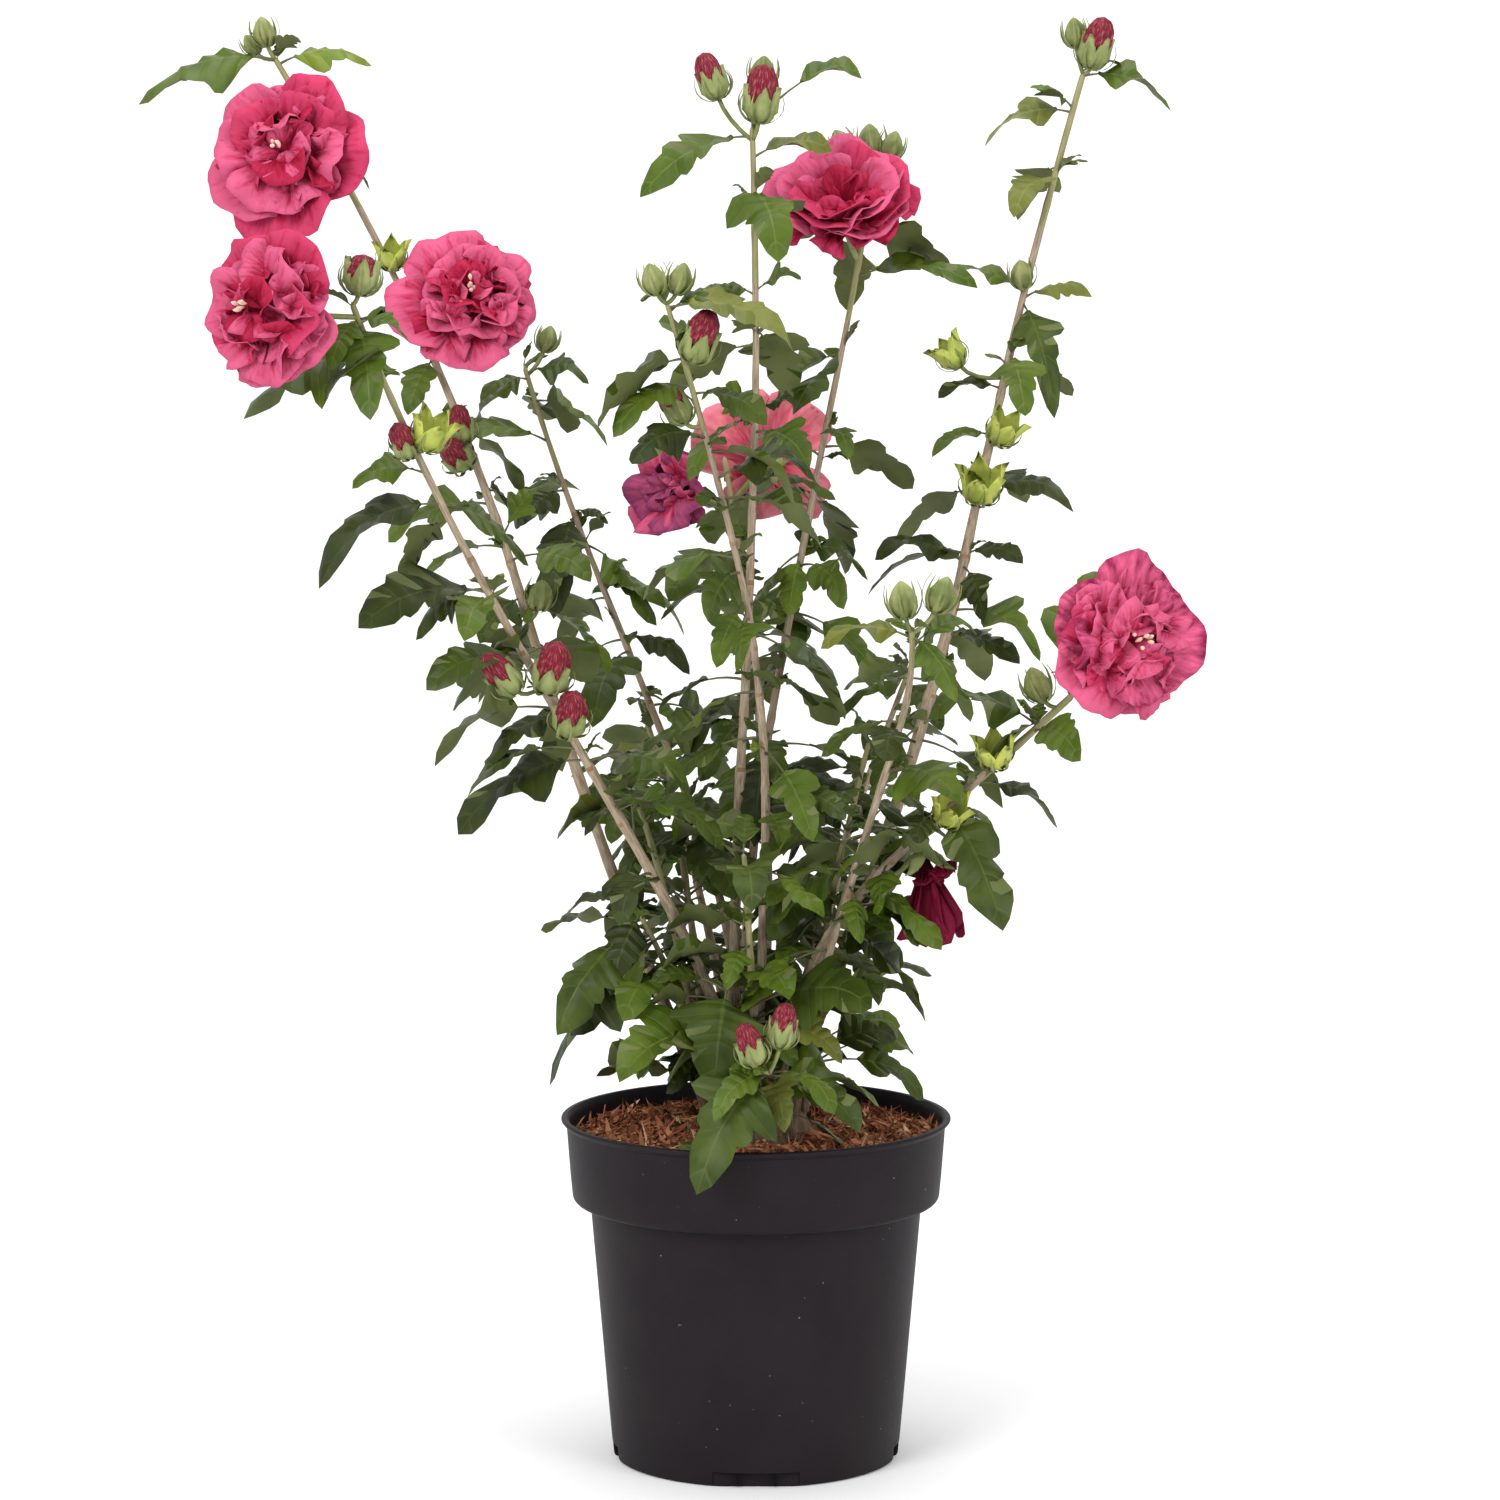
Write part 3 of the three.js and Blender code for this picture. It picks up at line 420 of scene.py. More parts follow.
def spindle(piece, base, heading, length, half, profile, tone, rows=14, columns=20, depth=0.0, twist=0.0,
            ruck=0.0, seed=0):
    """A closed body of revolution, carried from the base along the heading: half x profile(v) x (1 + depth x
    cos(5 x angle + twist x v) + ruck x folds that wander as they run lengthwise). In its own coordinates x
    runs round it and y along it, from 0 to 1."""
    v = column(0, 1, rows)
    angle = circle(columns)
    radius = np.interp(v, *(np.array(profile) * (1, half)).T) * (
        1 + depth * np.cos(5 * angle + twist * v)
        + ruck * np.sin(11 * angle + 2.2 * np.sin(5 * v + seed) + seed)
        + 0.7 * ruck * np.sin(4 * angle - 6 * v + 2 * seed))
    points = rings(base + heading * v * length, heading, radius, angle)
    piece.grid(points, tone, stacked(np.abs(angle / np.pi - 1), v))


def rings(path, heading, radius, angle):
    """Circles round the points of a path, square to its heading."""
    side, top = (np.atleast_2d(axis)[:, None] for axis in cross_axes(heading))
    return laid_out(path[:, None], (side, radius * np.cos(angle)), (top, radius * np.sin(angle)))


def tube(piece, path, radius, tone, sides):
    """A round tube: rings square to the path, a radius given for each, and the ends drawn to a point."""
    heading = unit(np.gradient(path, axis=0))
    points = rings(path, heading, np.broadcast_to(radius, len(path))[:, None], circle(sides))
    ends = np.repeat(path[[0, -1], None], sides, 1)
    piece.grid(np.concatenate([ends[:1], points, ends[1:]]), tone)


# ---------------- finishes
def put(socket, value):
    """Gives an input a value, or links another node's output to it."""
    if isinstance(value, bpy.types.NodeSocket):
        socket.id_data.links.new(value, socket)
    else:
        socket.default_value = value


def feed(node, **inputs):
    for name, value in inputs.items():
        put(node.inputs[name.replace("_", " ")], value)


def add_node(material, kind, **inputs):
    """A new shader node with its inputs fed."""
    node = material.node_tree.nodes.new("ShaderNode" + kind)
    feed(node, **inputs)
    return node


def reckon(material, operation, *values):
    """The output of a sum on values or outputs."""
    node = add_node(material, "Math")
    node.operation = operation
    for socket, value in zip(node.inputs, values):
        put(socket, value)
    return node.outputs["Value"]


def noise(material, scale, detail):
    """A noise on a finish's own coordinates, as its Mapping node stretches them."""
    spot = material.node_tree.nodes["Mapping"].outputs["Vector"]
    return add_node(material, "TexNoise", Scale=scale, Detail=detail, Vector=spot).outputs["Fac"]


def remap(material, value, low, high):
    """The share of the way from low to high."""
    return add_node(material, "MapRange", From_Min=low, From_Max=high, Value=value).outputs["Result"]


def toned(material, share, *stops):
    """Gives a finish a colour that runs through stops, each a place and a colour; the ends come first."""
    ramp = add_node(material, "ValToRGB", Fac=share)
    elements = ramp.color_ramp.elements
    for k, (place, colour) in enumerate(stops):
        element = elements[k] if k < 2 else elements.new(place)
        element.position = place
        element.color = (*colour, 1)
    feed(shader_of(material), Base_Color=ramp.outputs["Color"])


def overlaid(material, share, colour):
    """Lays a colour over that of a finish, by a share."""
    mix = add_node(material, "Mix")
    mix.data_type = "RGBA"
    under = shader_of(material).inputs["Base Color"].links[0].from_socket
    feed(mix, Factor=share, A=under, B=(*colour, 1))
    feed(shader_of(material), Base_Color=mix.outputs["Result"])


def embossed(material, height, strength, distance):
    """Gives a finish a relief."""
    relief = add_node(material, "Bump", Strength=strength, Distance=distance, Height=height)
    feed(shader_of(material), Normal=relief.outputs["Normal"])


def shader_of(material):
    return material.node_tree.nodes["Principled BSDF"]


def own_axes(material):
    """The x and y of a surface's own coordinates."""
    coordinates = material.node_tree.nodes["Texture Coordinate"].outputs["UV"]
    split = add_node(material, "SeparateXYZ", Vector=coordinates)
    return split.outputs["X"], split.outputs["Y"]


def finish(name, colour, second=None, scale=60.0, detail=3.0, roughness=0.5, bump=0.0, bump_scale=400.0,
           specular=0.5, uv=False, stretch=(1, 1, 1), spread=(0.35, 0.65)):
    """A Principled finish: two colours mixed by noise on the surface's own coordinates, and a fine relief."""
    material = bpy.data.materials.new(name)
    material.use_nodes = True
    feed(shader_of(material), Base_Color=(*colour, 1), Roughness=roughness, Specular_IOR_Level=specular)
    place = add_node(material, "TexCoord").outputs["UV" if uv else "Object"]
    add_node(material, "Mapping", Scale=stretch, Vector=place)
    if second is not None:
        toned(material, noise(material, scale, detail), (spread[0], colour), (spread[1], second))
    if bump:
        embossed(material, noise(material, bump_scale, GRAIN["detail"]), bump, GRAIN["depth"])
    return material


def petal_finish(name, heart, middle, rim, late=0.8):
    """A petal's finish: three tones from its seat out to its rim, the bounds drawn out into streaks by a
    noise that is stretched lengthwise. In the petal's own coordinates x runs across it and y outwards, from
    0 to 1; late is where the rim's tone is reached."""
    material = finish(name, middle, roughness=0.6, bump=0.5, bump_scale=9, specular=0.06, uv=True,
                      stretch=(6, 1, 1))
    _, outwards = own_axes(material)
    streaks = noise(material, STREAKS["scale"], STREAKS["detail"])
    shift = reckon(material, "MULTIPLY_ADD", streaks, STREAKS["shift"], outwards)
    share = remap(material, shift, STREAKS["start"], STREAKS["stop"] + late)
    # the dark heart is partly the petal's own deeper base and partly painted shade in the bloom's folds; a
    # rim paler than the middle is a painted highlight
    toned(material, share, (0, heart), (1, rim), (0.55, middle))
    return material


def leaf_finish(name, colour, second, vein):
    """A leaf's finish: blotches of two greens, and on the leaf's own coordinates (x across from -1 to 1, y
    from stalk to tip) a pale midrib and side veins, with the blade swelling softly between them."""
    material = finish(name, colour, second, 55, roughness=0.45, specular=0.2)
    across, along = own_axes(material)
    midrib = reckon(material, "LESS_THAN", reckon(material, "ABSOLUTE", across), VEINS["midrib"])
    between = reckon(material, "PINGPONG", reckon(material, "MULTIPLY", along, VEINS["pairs"]), 0.5)
    side = reckon(material, "LESS_THAN", between, VEINS["side"])
    side = reckon(material, "MULTIPLY", side, VEINS["side_strength"])
    overlaid(material, reckon(material, "MAXIMUM", midrib, side), vein)
    swell = reckon(material, "POWER", between, VEINS["swell"])
    embossed(material, swell, VEINS["strength"], VEINS["depth"])
    return material


def bark_finish(name, colour, second, scale, roughness, specular, **more):
    """Bark, its pattern drawn out along the stem."""
    return finish(name, colour, second, scale, roughness=roughness, specular=specular, uv=True,
                  stretch=(0.5, 1, 1), **more)


# two greens and the tone of the veins
LEAF_FINISHES = {shade: leaf_finish(f"leaf_{shade}", *tones) for shade, tones in dict(
    deep=((0.014, 0.022, 0.003), (0.033, 0.045, 0.006), (0.042, 0.056, 0.010)),
    dark=((0.025, 0.042, 0.003), (0.050, 0.075, 0.007), (0.062, 0.088, 0.013)),
    mid=((0.043, 0.077, 0.004), (0.080, 0.120, 0.009), (0.095, 0.130, 0.020)),
    light=((0.092, 0.108, 0.013), (0.150, 0.165, 0.028), (0.165, 0.185, 0.045)),
    fresh=((0.070, 0.130, 0.006), (0.145, 0.190, 0.018), (0.18, 0.22, 0.04))).items()}
LEAF_UNDER = finish("leaf_under", (0.080, 0.098, 0.030), (0.12, 0.14, 0.048), 50, roughness=0.65,
                    specular=0.2)
STALK = finish("green_stalk", (0.10, 0.115, 0.035), (0.075, 0.06, 0.03), 80, roughness=0.55)
BARKS = [
    bark_finish("cane_bark", (0.42, 0.33, 0.235), (0.24, 0.18, 0.12), 30, 0.8, 0.25, detail=5, bump=0.6,
                bump_scale=90, spread=(0.4, 0.66)),
    bark_finish("young_bark", (0.20, 0.22, 0.08), (0.33, 0.27, 0.15), 20, 0.65, 0.3),
    bark_finish("old_bark", (0.085, 0.055, 0.035), (0.19, 0.13, 0.085), 26, 0.85, 0.2, detail=5, bump=0.7,
                bump_scale=90),
    finish("bark_scar", (0.22, 0.12, 0.06), (0.32, 0.19, 0.10), 200, roughness=0.85),
]
PLAIN_BARK, YOUNG_BARK, OLD_BARK, SCAR = range(4)
# petals by the three tones from the seat out to the rim
# each dark heart is partly painted shade deep in the bloom, and a rim paler than the middle is a painted
# highlight
PETALS = [
    petal_finish("petal_crimson", (0.13, 0.001, 0.009), (0.26, 0.005, 0.024), (0.37, 0.018, 0.058)),
    petal_finish("petal_rose", (0.17, 0.002, 0.013), (0.33, 0.009, 0.040), (0.46, 0.040, 0.105)),
    petal_finish("petal_pink", (0.22, 0.003, 0.020), (0.41, 0.022, 0.072), (0.54, 0.090, 0.185)),
    petal_finish("petal_salmon", (0.28, 0.016, 0.040), (0.50, 0.085, 0.125), (0.60, 0.17, 0.215)),
    petal_finish("petal_mauve", (0.16, 0.010, 0.045), (0.38, 0.070, 0.145), (0.22, 0.035, 0.115), late=1.0),
    petal_finish("petal_edged", (0.30, 0.006, 0.034), (0.60, 0.100, 0.205), (0.20, 0.010, 0.050), late=1.12),
    petal_finish("petal_spent", (0.060, 0.003, 0.009), (0.13, 0.005, 0.020), (0.18, 0.010, 0.036)),
    finish("stamen_cream", (0.66, 0.42, 0.30), (0.72, 0.52, 0.42), 200, roughness=0.6),
]
CRIMSON, ROSE, PINK, SALMON, MAUVE, EDGED, SPENT, CREAM = range(8)
# whorls: count, size as a share of the bloom's half width, half angle of the fan, tilt, curl, cup, ruffle;
# rosettes: clusters of small petals round the middle, and the petals in each
OPEN_WHORLS = [(5, 1.12, 0.72, 0.95, 0.65, 0.02, 0.85), (6, 0.96, 0.62, 0.6, 0.8, 0.15, 1.15)]
AGED_WHORLS = [(5, 1.0, 0.74, 0.9, 0.6, 0.1, 0.95), (7, 0.88, 0.6, 0.6, 0.8, 0.2, 1.2)]
CUP_WHORLS = [(6, 1.16, 0.84, 0.6, 0.7, 0.35, 0.7), (7, 1.0, 0.7, 0.35, 0.8, 0.35, 1.0)]
BLOOM_LOOKS = {
    "fresh": dict(whorls=OPEN_WHORLS, rosettes=7, each=6, open=1.0, outer=(ROSE, PINK),
                  tones=(CRIMSON, ROSE, PINK, PINK), stamens=6),
    "pink": dict(whorls=OPEN_WHORLS, rosettes=7, each=6, open=1.0, outer=(PINK,), tones=(CRIMSON, ROSE, PINK),
                 stamens=5),
    "cup": dict(whorls=CUP_WHORLS, rosettes=6, each=5, open=0.8, outer=(ROSE, PINK),
                tones=(CRIMSON, CRIMSON, ROSE, ROSE), stamens=0),
    "aged": dict(whorls=AGED_WHORLS, rosettes=7, each=6, open=1.0, outer=(PINK, EDGED, EDGED),
                 tones=(ROSE, PINK, PINK, PINK), stamens=6),
    "fading": dict(whorls=[(5, 1.25, 0.7, 0.6, 0.6, 0.4, 1.6)], rosettes=4, each=5, open=1.0,
                   outer=(MAUVE, MAUVE, PINK), tones=(MAUVE, MAUVE, PINK), stamens=0),
    "backward": dict(whorls=[(5, 1.3, 0.6, 1.0, 0.5, 0.05, 1.4)], rosettes=2, each=5, open=1.0,
                     outer=(SALMON,), tones=(SALMON, PINK), stamens=0),
    "spent": dict(whorls=[(5, 2.1, 0.45, 0.12, 0.2, 0.9, 1.0)], rosettes=1, each=5, open=0.3, outer=(SPENT,),
                  tones=(SPENT,), stamens=0),
}
BUD_FINISHES = [
    finish("bud_green", (0.12, 0.15, 0.040), (0.25, 0.27, 0.10), 110, roughness=0.55, specular=0.25),
    finish("bud_red", (0.15, 0.004, 0.014), (0.42, 0.13, 0.155), 3, detail=6, roughness=0.6, bump=0.7,
           bump_scale=4, specular=0.2, uv=True, stretch=(12, 2.2, 1), spread=(0.50, 0.74)),
    finish("calyx_yellow_green", (0.44, 0.47, 0.085), (0.30, 0.36, 0.065), 120, roughness=0.5, specular=0.3),
    finish("sepal_pale", (0.18, 0.22, 0.07), (0.26, 0.29, 0.11), 150, roughness=0.55, specular=0.25),
]
GREEN, RED, YELLOW, SEPAL = range(4)
POT_FINISH = finish("pot_black", (0.0085, 0.0058, 0.0080), (0.0115, 0.0085, 0.0105), 22, roughness=0.55,
                    bump=0.1, bump_scale=260, specular=0.13)
# pale specks of debris at the peaks of a fine noise
PEAKS = noise(POT_FINISH, SPECKS["scale"], SPECKS["detail"])
overlaid(POT_FINISH, remap(POT_FINISH, PEAKS, SPECKS["low"], SPECKS["high"]), SPECKS["colour"])
MEDIUM_BED = finish("medium_bed", (0.09, 0.033, 0.015), (0.18, 0.065, 0.03), 140, roughness=0.95, bump=0.8,
                    bump_scale=500, specular=0.2)
CHIP_FINISHES = [finish(f"chip_{name}", colour, second, 300, roughness=roughness, specular=0.2)
                 for name, colour, second, roughness in (
                     ("dark", (0.13, 0.046, 0.022), (0.19, 0.065, 0.03), 0.9),
                     ("red", (0.30, 0.10, 0.048), (0.38, 0.13, 0.06), 0.9),
                     ("brown", (0.38, 0.16, 0.08), (0.45, 0.2, 0.1), 0.9),
                     ("tan", (0.56, 0.32, 0.18), (0.66, 0.4, 0.24), 0.85))]
CHIP_FINISHES.append(finish("chip_ochre", (0.5, 0.34, 0.13), roughness=0.85))


# ---------------- leaves
def leaf_guide(root, reach):
    """The point over the middle of a leaf's reach that its midline bows to."""
    return root + reach * 0.5 + UP * LEAF_RISE * np.linalg.norm(reach)


def leaf_points(root, reach, stalk, roll, shape):
    """The blade's grid, with a column for each share u of its length. A row starts on the midrib and ends at
    the edge point, both on the leaf's arched midline: t along it, and the side axis across. Height is
    fold x |u| - droop x u^2 of the half width, plus a pucker from row to row and a wave along the edge."""
    length = np.linalg.norm(reach)
    guide = leaf_guide(root, reach)
    begin = (stalk + 0.16 * (length - stalk)) / length
    blade = (1 - begin) * length
    edge = OVAL_EDGE + (LOBED_EDGE - OVAL_EDGE) * shape["lobe"]
    u = LEAF_COLUMNS[None, :]
    start = LEAF_ROWS[:, None]
    along = start + (edge[:, :1] - start) * np.abs(u)
    half = edge[:, 1:] * shape["wide"] * blade
    t = (begin + (1 - begin) * along)[..., None]
    path = bowed(t, root, guide, root + reach)
    path = path - UP * shape["hook"] * blade * np.clip(along[..., None] - 0.55, 0, 1) ** 2
    slope = 2 * (1 - t) * (guide - root) + 2 * t * (root + reach - guide)
    side, top = cross_axes(unit(slope))
    side, top = rolled(side, top, (roll + shape["twist"] * (along - 0.3))[..., None])
    ridge = np.sin(np.arange(len(LEAF_ROWS)) * 2.1)[:, None]
    pucker = 0.026 * blade * ridge * np.sin(np.pi * np.abs(u)) * (half > 0)
    wave = shape["wave"] * half * u ** 2 * np.sin(8 * along + shape["phase"] + 2 * np.sign(u))
    height = half * (shape["fold"] * np.abs(u) - shape["droop"] * u ** 2) + pucker + wave
    return laid_out(path, (side, half * u), (top, height)), top


def add_leaf(piece, root, reach, stalk, roll, shape):
    """One closed blade: the grid on top, and below it one strip each side of a line under the midrib, on the
    same edge points. Its first and last rows are single points. In its own coordinates x is the share u and
    y the share of the rows."""
    points, top = leaf_points(root, reach, stalk, roll, shape)
    rows, columns = points.shape[:2]
    middle = points[:, 2] - top[:, 2] * LEAF_THICKNESS
    middle[[0, -1]] = points[[0, -1], 0]
    upper = grid_faces(rows, columns).reshape(-1, 4)
    r = np.arange(rows - 1)
    line = rows * columns + r
    left = stacked(r * columns, (r + 1) * columns, line + 1, line)
    right = stacked(line, line + 1, (r + 2) * columns - 1, (r + 1) * columns - 1)
    out = np.linspace(0, 1, rows)
    uv = stacked(LEAF_COLUMNS[None, :], out[:, None]).reshape(-1, 2)
    piece.take(np.concatenate([points.reshape(-1, 3), middle]), np.concatenate([upper, left, right]),
               np.repeat([0, 1], [len(upper), 2 * len(r)]),
               np.concatenate([uv, stacked(np.zeros(rows), out)]))


def leaf_shape(seed, k):
    """A leaf's own proportions, drawn from its seed."""
    return dict(wide=0.85 + 0.4 * chance(seed, k, 1), lobe=min(0.2 + 1.1 * chance(seed, k, 2), 1),
                twist=1.7 * (chance(seed, k, 3) - 0.5), wave=0.08 + 0.36 * chance(seed, k, 4),
                phase=6.3 * chance(seed, k, 5), fold=0.1 + 0.45 * chance(seed, k, 6),
                droop=0.15 + 0.45 * chance(seed, k, 7), hook=0.2 + 1.2 * chance(seed, k, 14) ** 1.4)


def leaves_by_rule(stem, seed):
    """The rule of the solids: nodes go down from the tip by shrinking gaps, and each leaf is turned on from
    the last."""
    gap = stem.plan["gap"]
    down = gap * RULE["first_gap"]
    room = stem.length * (1 - stem.bare) - 6
    n = 0
    while down < room:
        stalk = min(n * RULE["spur_growth"], RULE["spur_most"])
        for k in range(RULE["leaves"]):
            length = stem.plan["leaf"] * (0.78 + 0.42 * chance(seed + 90, n, k))
            compass = (stem.plan["start"] + n * RULE["turn"] + k * RULE["leaf_fan"]
                       + 30 * (chance(seed, n, k) - 0.5))
            lift = stem.plan["climb"] + RULE["climb_spread"] * (chance(seed + 50, n, k) - 0.5)
            yield dict(at=stem.place(down + RULE["spread"] * (k - 0.5)), stalk=stalk, depth=down,
                       reach=pointing(compass, lift) * (length + stalk),
                       roll=RULE["roll_spread"] * (chance(seed + 130, n, k) - 0.5))
        down += gap
        gap = max(gap * RULE["shrink"], RULE["least_gap"])
        n += 1


def infill_leaves(stem, seed):
    """Smaller leaves between the nodes of the lower stem, by the same turn, closer together."""
    down = stem.plan["gap"] * 1.6 + 20 if stem.bare else 10
    room = stem.length * (1 - stem.bare * 0.8) - 4
    gap = INFILL["shoot_gap"] if stem.is_shoot else INFILL["gap"]
    n = 0
    while down < room:
        at = stem.place(down)
        if stem.at(at)[2] <= INFILL["below"]:
            size = INFILL["size"] + 0.4 * chance(seed, n, 8)
            compass = stem.plan["start"] + 40 + n * RULE["turn"] + 30 * chance(seed, n, 9)
            lift = INFILL["climb"] + 56 * (chance(seed, n, 10) - 0.5)
            stalk = 6 + 14 * chance(seed, n, 11)
            yield dict(at=at, reach=pointing(compass, lift) * (stem.plan["leaf"] * size + stalk), stalk=stalk,
                       roll=chance(seed, n, 12) - 0.5, depth=down)
        down += gap
        n += 1


def tuft_leaves(stem, seed):
    """Small young leaves that stand up at the tip and in the joint of each node of the rule."""
    nodes = sorted({1.5} | {round(plan["depth"], 3) for plan in leaves_by_rule(stem, seed)})
    for n, down in enumerate(nodes):
        for k in range(TUFT["count"]):
            size = TUFT["least"] + (TUFT["most"] - TUFT["least"]) * chance(seed + TUFT["seed"], n, k)
            compass = 360 * chance(seed + TUFT["seed"], n, k + 4)
            lift = 5 + 60 * chance(seed + TUFT["seed"], n, k + 8)
            yield dict(at=stem.place(down + 4 * (k - 0.5)), reach=pointing(compass, lift) * size, stalk=0,
                       roll=1.2 * (chance(seed, n, k + 12) - 0.5), depth=0)


def leading_leaf(stem, down, x, y, z, stalk=0, wide=1):
    """A leaf with a place of its own; its face is turned to the front, less so near the top."""
    at = stem.place(down)
    roll = LEAD_ROLL["high" if stem.at(at)[2] > LEAD_ROLL["above"] else "low"]
    return dict(at=at, reach=np.array([x, y, z], float), stalk=stalk, wide=wide, roll=roll * np.sign(x),
                depth=down)


def bloom_centre(bloom):
    return on_stem(bloom["stem"], bloom["down"]) + np.array(bloom["seat"], float)


def each_bud():
    """Every bud: its root on the stem, its reach from there, its width, its kind and its seed."""
    for number, (stem, down, buds) in enumerate(BUDS):
        for k, (*reach, across, kind) in enumerate(buds):
            yield on_stem(stem, down), np.array(reach, float), across, kind, number * BUD_SEED_STEP + k


# the middles of what faces the viewer, blooms, red buds and open calyxes, and how far each is kept clear
FACING = [(bloom_centre(bloom), bloom["across"] * 0.5) for bloom in BLOOMS
          if bloom["look"] in ("fresh", "pink", "cup", "aged")]
FACING += [(root + reach * (1 + 0.4 * across / np.linalg.norm(reach)), BUD_CLEARANCE)
           for root, reach, across, kind, _ in each_bud() if kind != "green"]


def meets_bloom(point):
    """Whether a point lies inside a bloom, or in front of one that faces the viewer, or of a bud."""
    inside = any(np.linalg.norm(point - bloom_centre(b) - np.array(b["face"]) * b["across"] * 0.2)
                 < b["across"] * 0.5 for b in BLOOMS)
    return inside or any(math.hypot(point[0] - c[0], point[2] - c[2]) < reach and point[1] < c[1]
                         for c, reach in FACING)


def leaf_shade(plan, root, luck, young):
    """Leaves are lighter towards the top, near a tip and on a young shoot; one in twenty is a fresh green
    anywhere."""
    if luck > 0.95:
        return "fresh"
    if plan["depth"] < 30 and root[2] > 300:
        young = 0.2
    light = luck + young + 0.5 * np.clip((root[2] - 480) / 170, 0, 1) - 0.1
    if light > 1:
        return "light"
    if light > 0.52:
        return "mid"
    return "dark" if light > 0.16 else "deep"


def grow_leaves():
    """All leaves with their stalks, in a piece for each shade."""
    pieces = {shade: Piece() for shade in LEAF_FINISHES}
    stalks = Piece()
    for seed, stem in enumerate(STEMS, 1):
        leading = [leading_leaf(stem, *row) for row in stem.plan["leaves"]]
        others = [*leaves_by_rule(stem, seed), *infill_leaves(stem, seed + INFILL["seed"]),
                  *tuft_leaves(stem, seed)]
        for k, plan in enumerate(leading + others):
            root, reach, stalk = stem.at(plan["at"]), plan["reach"], plan["stalk"]
            if k >= len(leading) and meets_bloom(root + reach * 0.6):
                continue
            shade = leaf_shade(plan, root, chance(seed, k, 13), stem.plan["young"])
            shape = leaf_shape(seed, k)
            shape["wide"] *= plan.get("wide", 1)
            add_leaf(pieces[shade], root, reach, stalk, plan["roll"], shape)
            length = np.linalg.norm(reach)
            t = column(0, (stalk + 0.17 * (length - stalk)) / length, 5)
            path = bowed(t, root, leaf_guide(root, reach), root + reach)
            tube(stalks, path, np.linspace(*LEAF_STALK, 5) * min(1, length / 30), 0, sides=5)
    for shade, piece in pieces.items():
        leaves = piece.make(f"leaves_{shade}", [LEAF_FINISHES[shade], LEAF_UNDER], MASSES, "foliage")
        leaves.data.set_sharp_from_angle(angle=math.radians(80))
    stalks.make("leaf_stalks", [STALK], MASSES, "foliage")


# ---------------- canes
def stem_skin(stem, number):
    """A stem's bark: radius x (1 + lengthwise ridges + a knuckle at each node + a swelling at a cane's foot +
    a slow wave), on a path that sways a little. Gives the points, the bark of each face, and the stem's own
    coordinates, x round it and y along it."""
    t = column(0, 1, int(stem.length / BARK_RINGS["apart"]))
    angle = circle(BARK_RINGS["sides"])
    down = (1 - t) * stem.length
    nodes = list(leaves_by_rule(stem, number + 1))
    ridges = 0.035 * np.sin(5 * angle + number + 0.02 * down) + 0.02 * np.sin(9 * angle - 0.05 * down)
    knuckles = sum(KNUCKLE["height"] * np.exp(-((down - node["depth"]) / KNUCKLE["reach"]) ** 2)
                   for node in nodes)
    swell = 0.5 * np.exp(-(t * stem.length) / 9.0) * (0 if stem.is_shoot else 1)
    radius = stem.radius(t) * (1 + ridges + knuckles + swell + 0.05 * np.sin(0.11 * down + number))
    t = t[:, 0]
    heading = stem.heading(t)
    sway = 0.6 * np.sin(down[:, 0] / 19 + number)
    path = stem.at(t) + cross_axes(heading)[0] * (sway * (1 - t) ** 0.5 * t)[:, None]
    points = rings(path, heading, radius, angle)
    points[-1] = path[-1]
    young = t[:-1, None] > YOUNG_FROM["shoot" if stem.is_shoot else "cane"]
    tone = np.where(young, YOUNG_BARK, PLAIN_BARK) * np.ones(BARK_RINGS["sides"], int)
    tone[path[:-1, 2] < OLD_BARK_TOP + 10 * math.sin(number * 2.3)] = OLD_BARK
    for n, node in enumerate(nodes):
        near = np.abs(down[:-1] - node["depth"]) < KNUCKLE["scar"]
        tone[near & (np.cos(angle - node["roll"] - n) > 0.8) & (tone == PLAIN_BARK)] = SCAR
    return points, tone, stacked(angle / (2 * np.pi) + number, t[:, None] * stem.length * 0.004)


def stool_skin():
    """The woody foot: its outline turned about Z, with lumps that run up it."""
    angle = circle(72)
    v = column(0, 1, 30)
    outline = np.array([(STOOL[0][0], -3), *STOOL, (16, 20), (0.01, 21)])
    stations = np.linspace(0, 1, len(outline))
    radius = np.interp(v, stations, outline[:, 0]) * 0.8
    height = SOIL_TOP + np.interp(v, stations, outline[:, 1])
    lumps = (1 + 0.1 * np.sin(5 * angle + 1.3) + 0.06 * np.sin(11 * angle + 9 * v)
             + 0.03 * np.sin(23 * angle - 15 * v))
    return turned(radius * lumps, angle, height), OLD_BARK, stacked(angle * 0.7, v * 0.1)


def grow_canes():
    canes, twigs = Piece(), Piece()
    for number, stem in enumerate(STEMS):
        (twigs if stem.is_shoot else canes).grid(*stem_skin(stem, number))
    canes.grid(*stool_skin())
    canes.make("bark_canes", BARKS, [f"cane_{s.name}" for s in STEMS if not s.is_shoot] + ["stool"], "bark")
    twigs.make("bark_shoots", BARKS, MASSES, "bark")


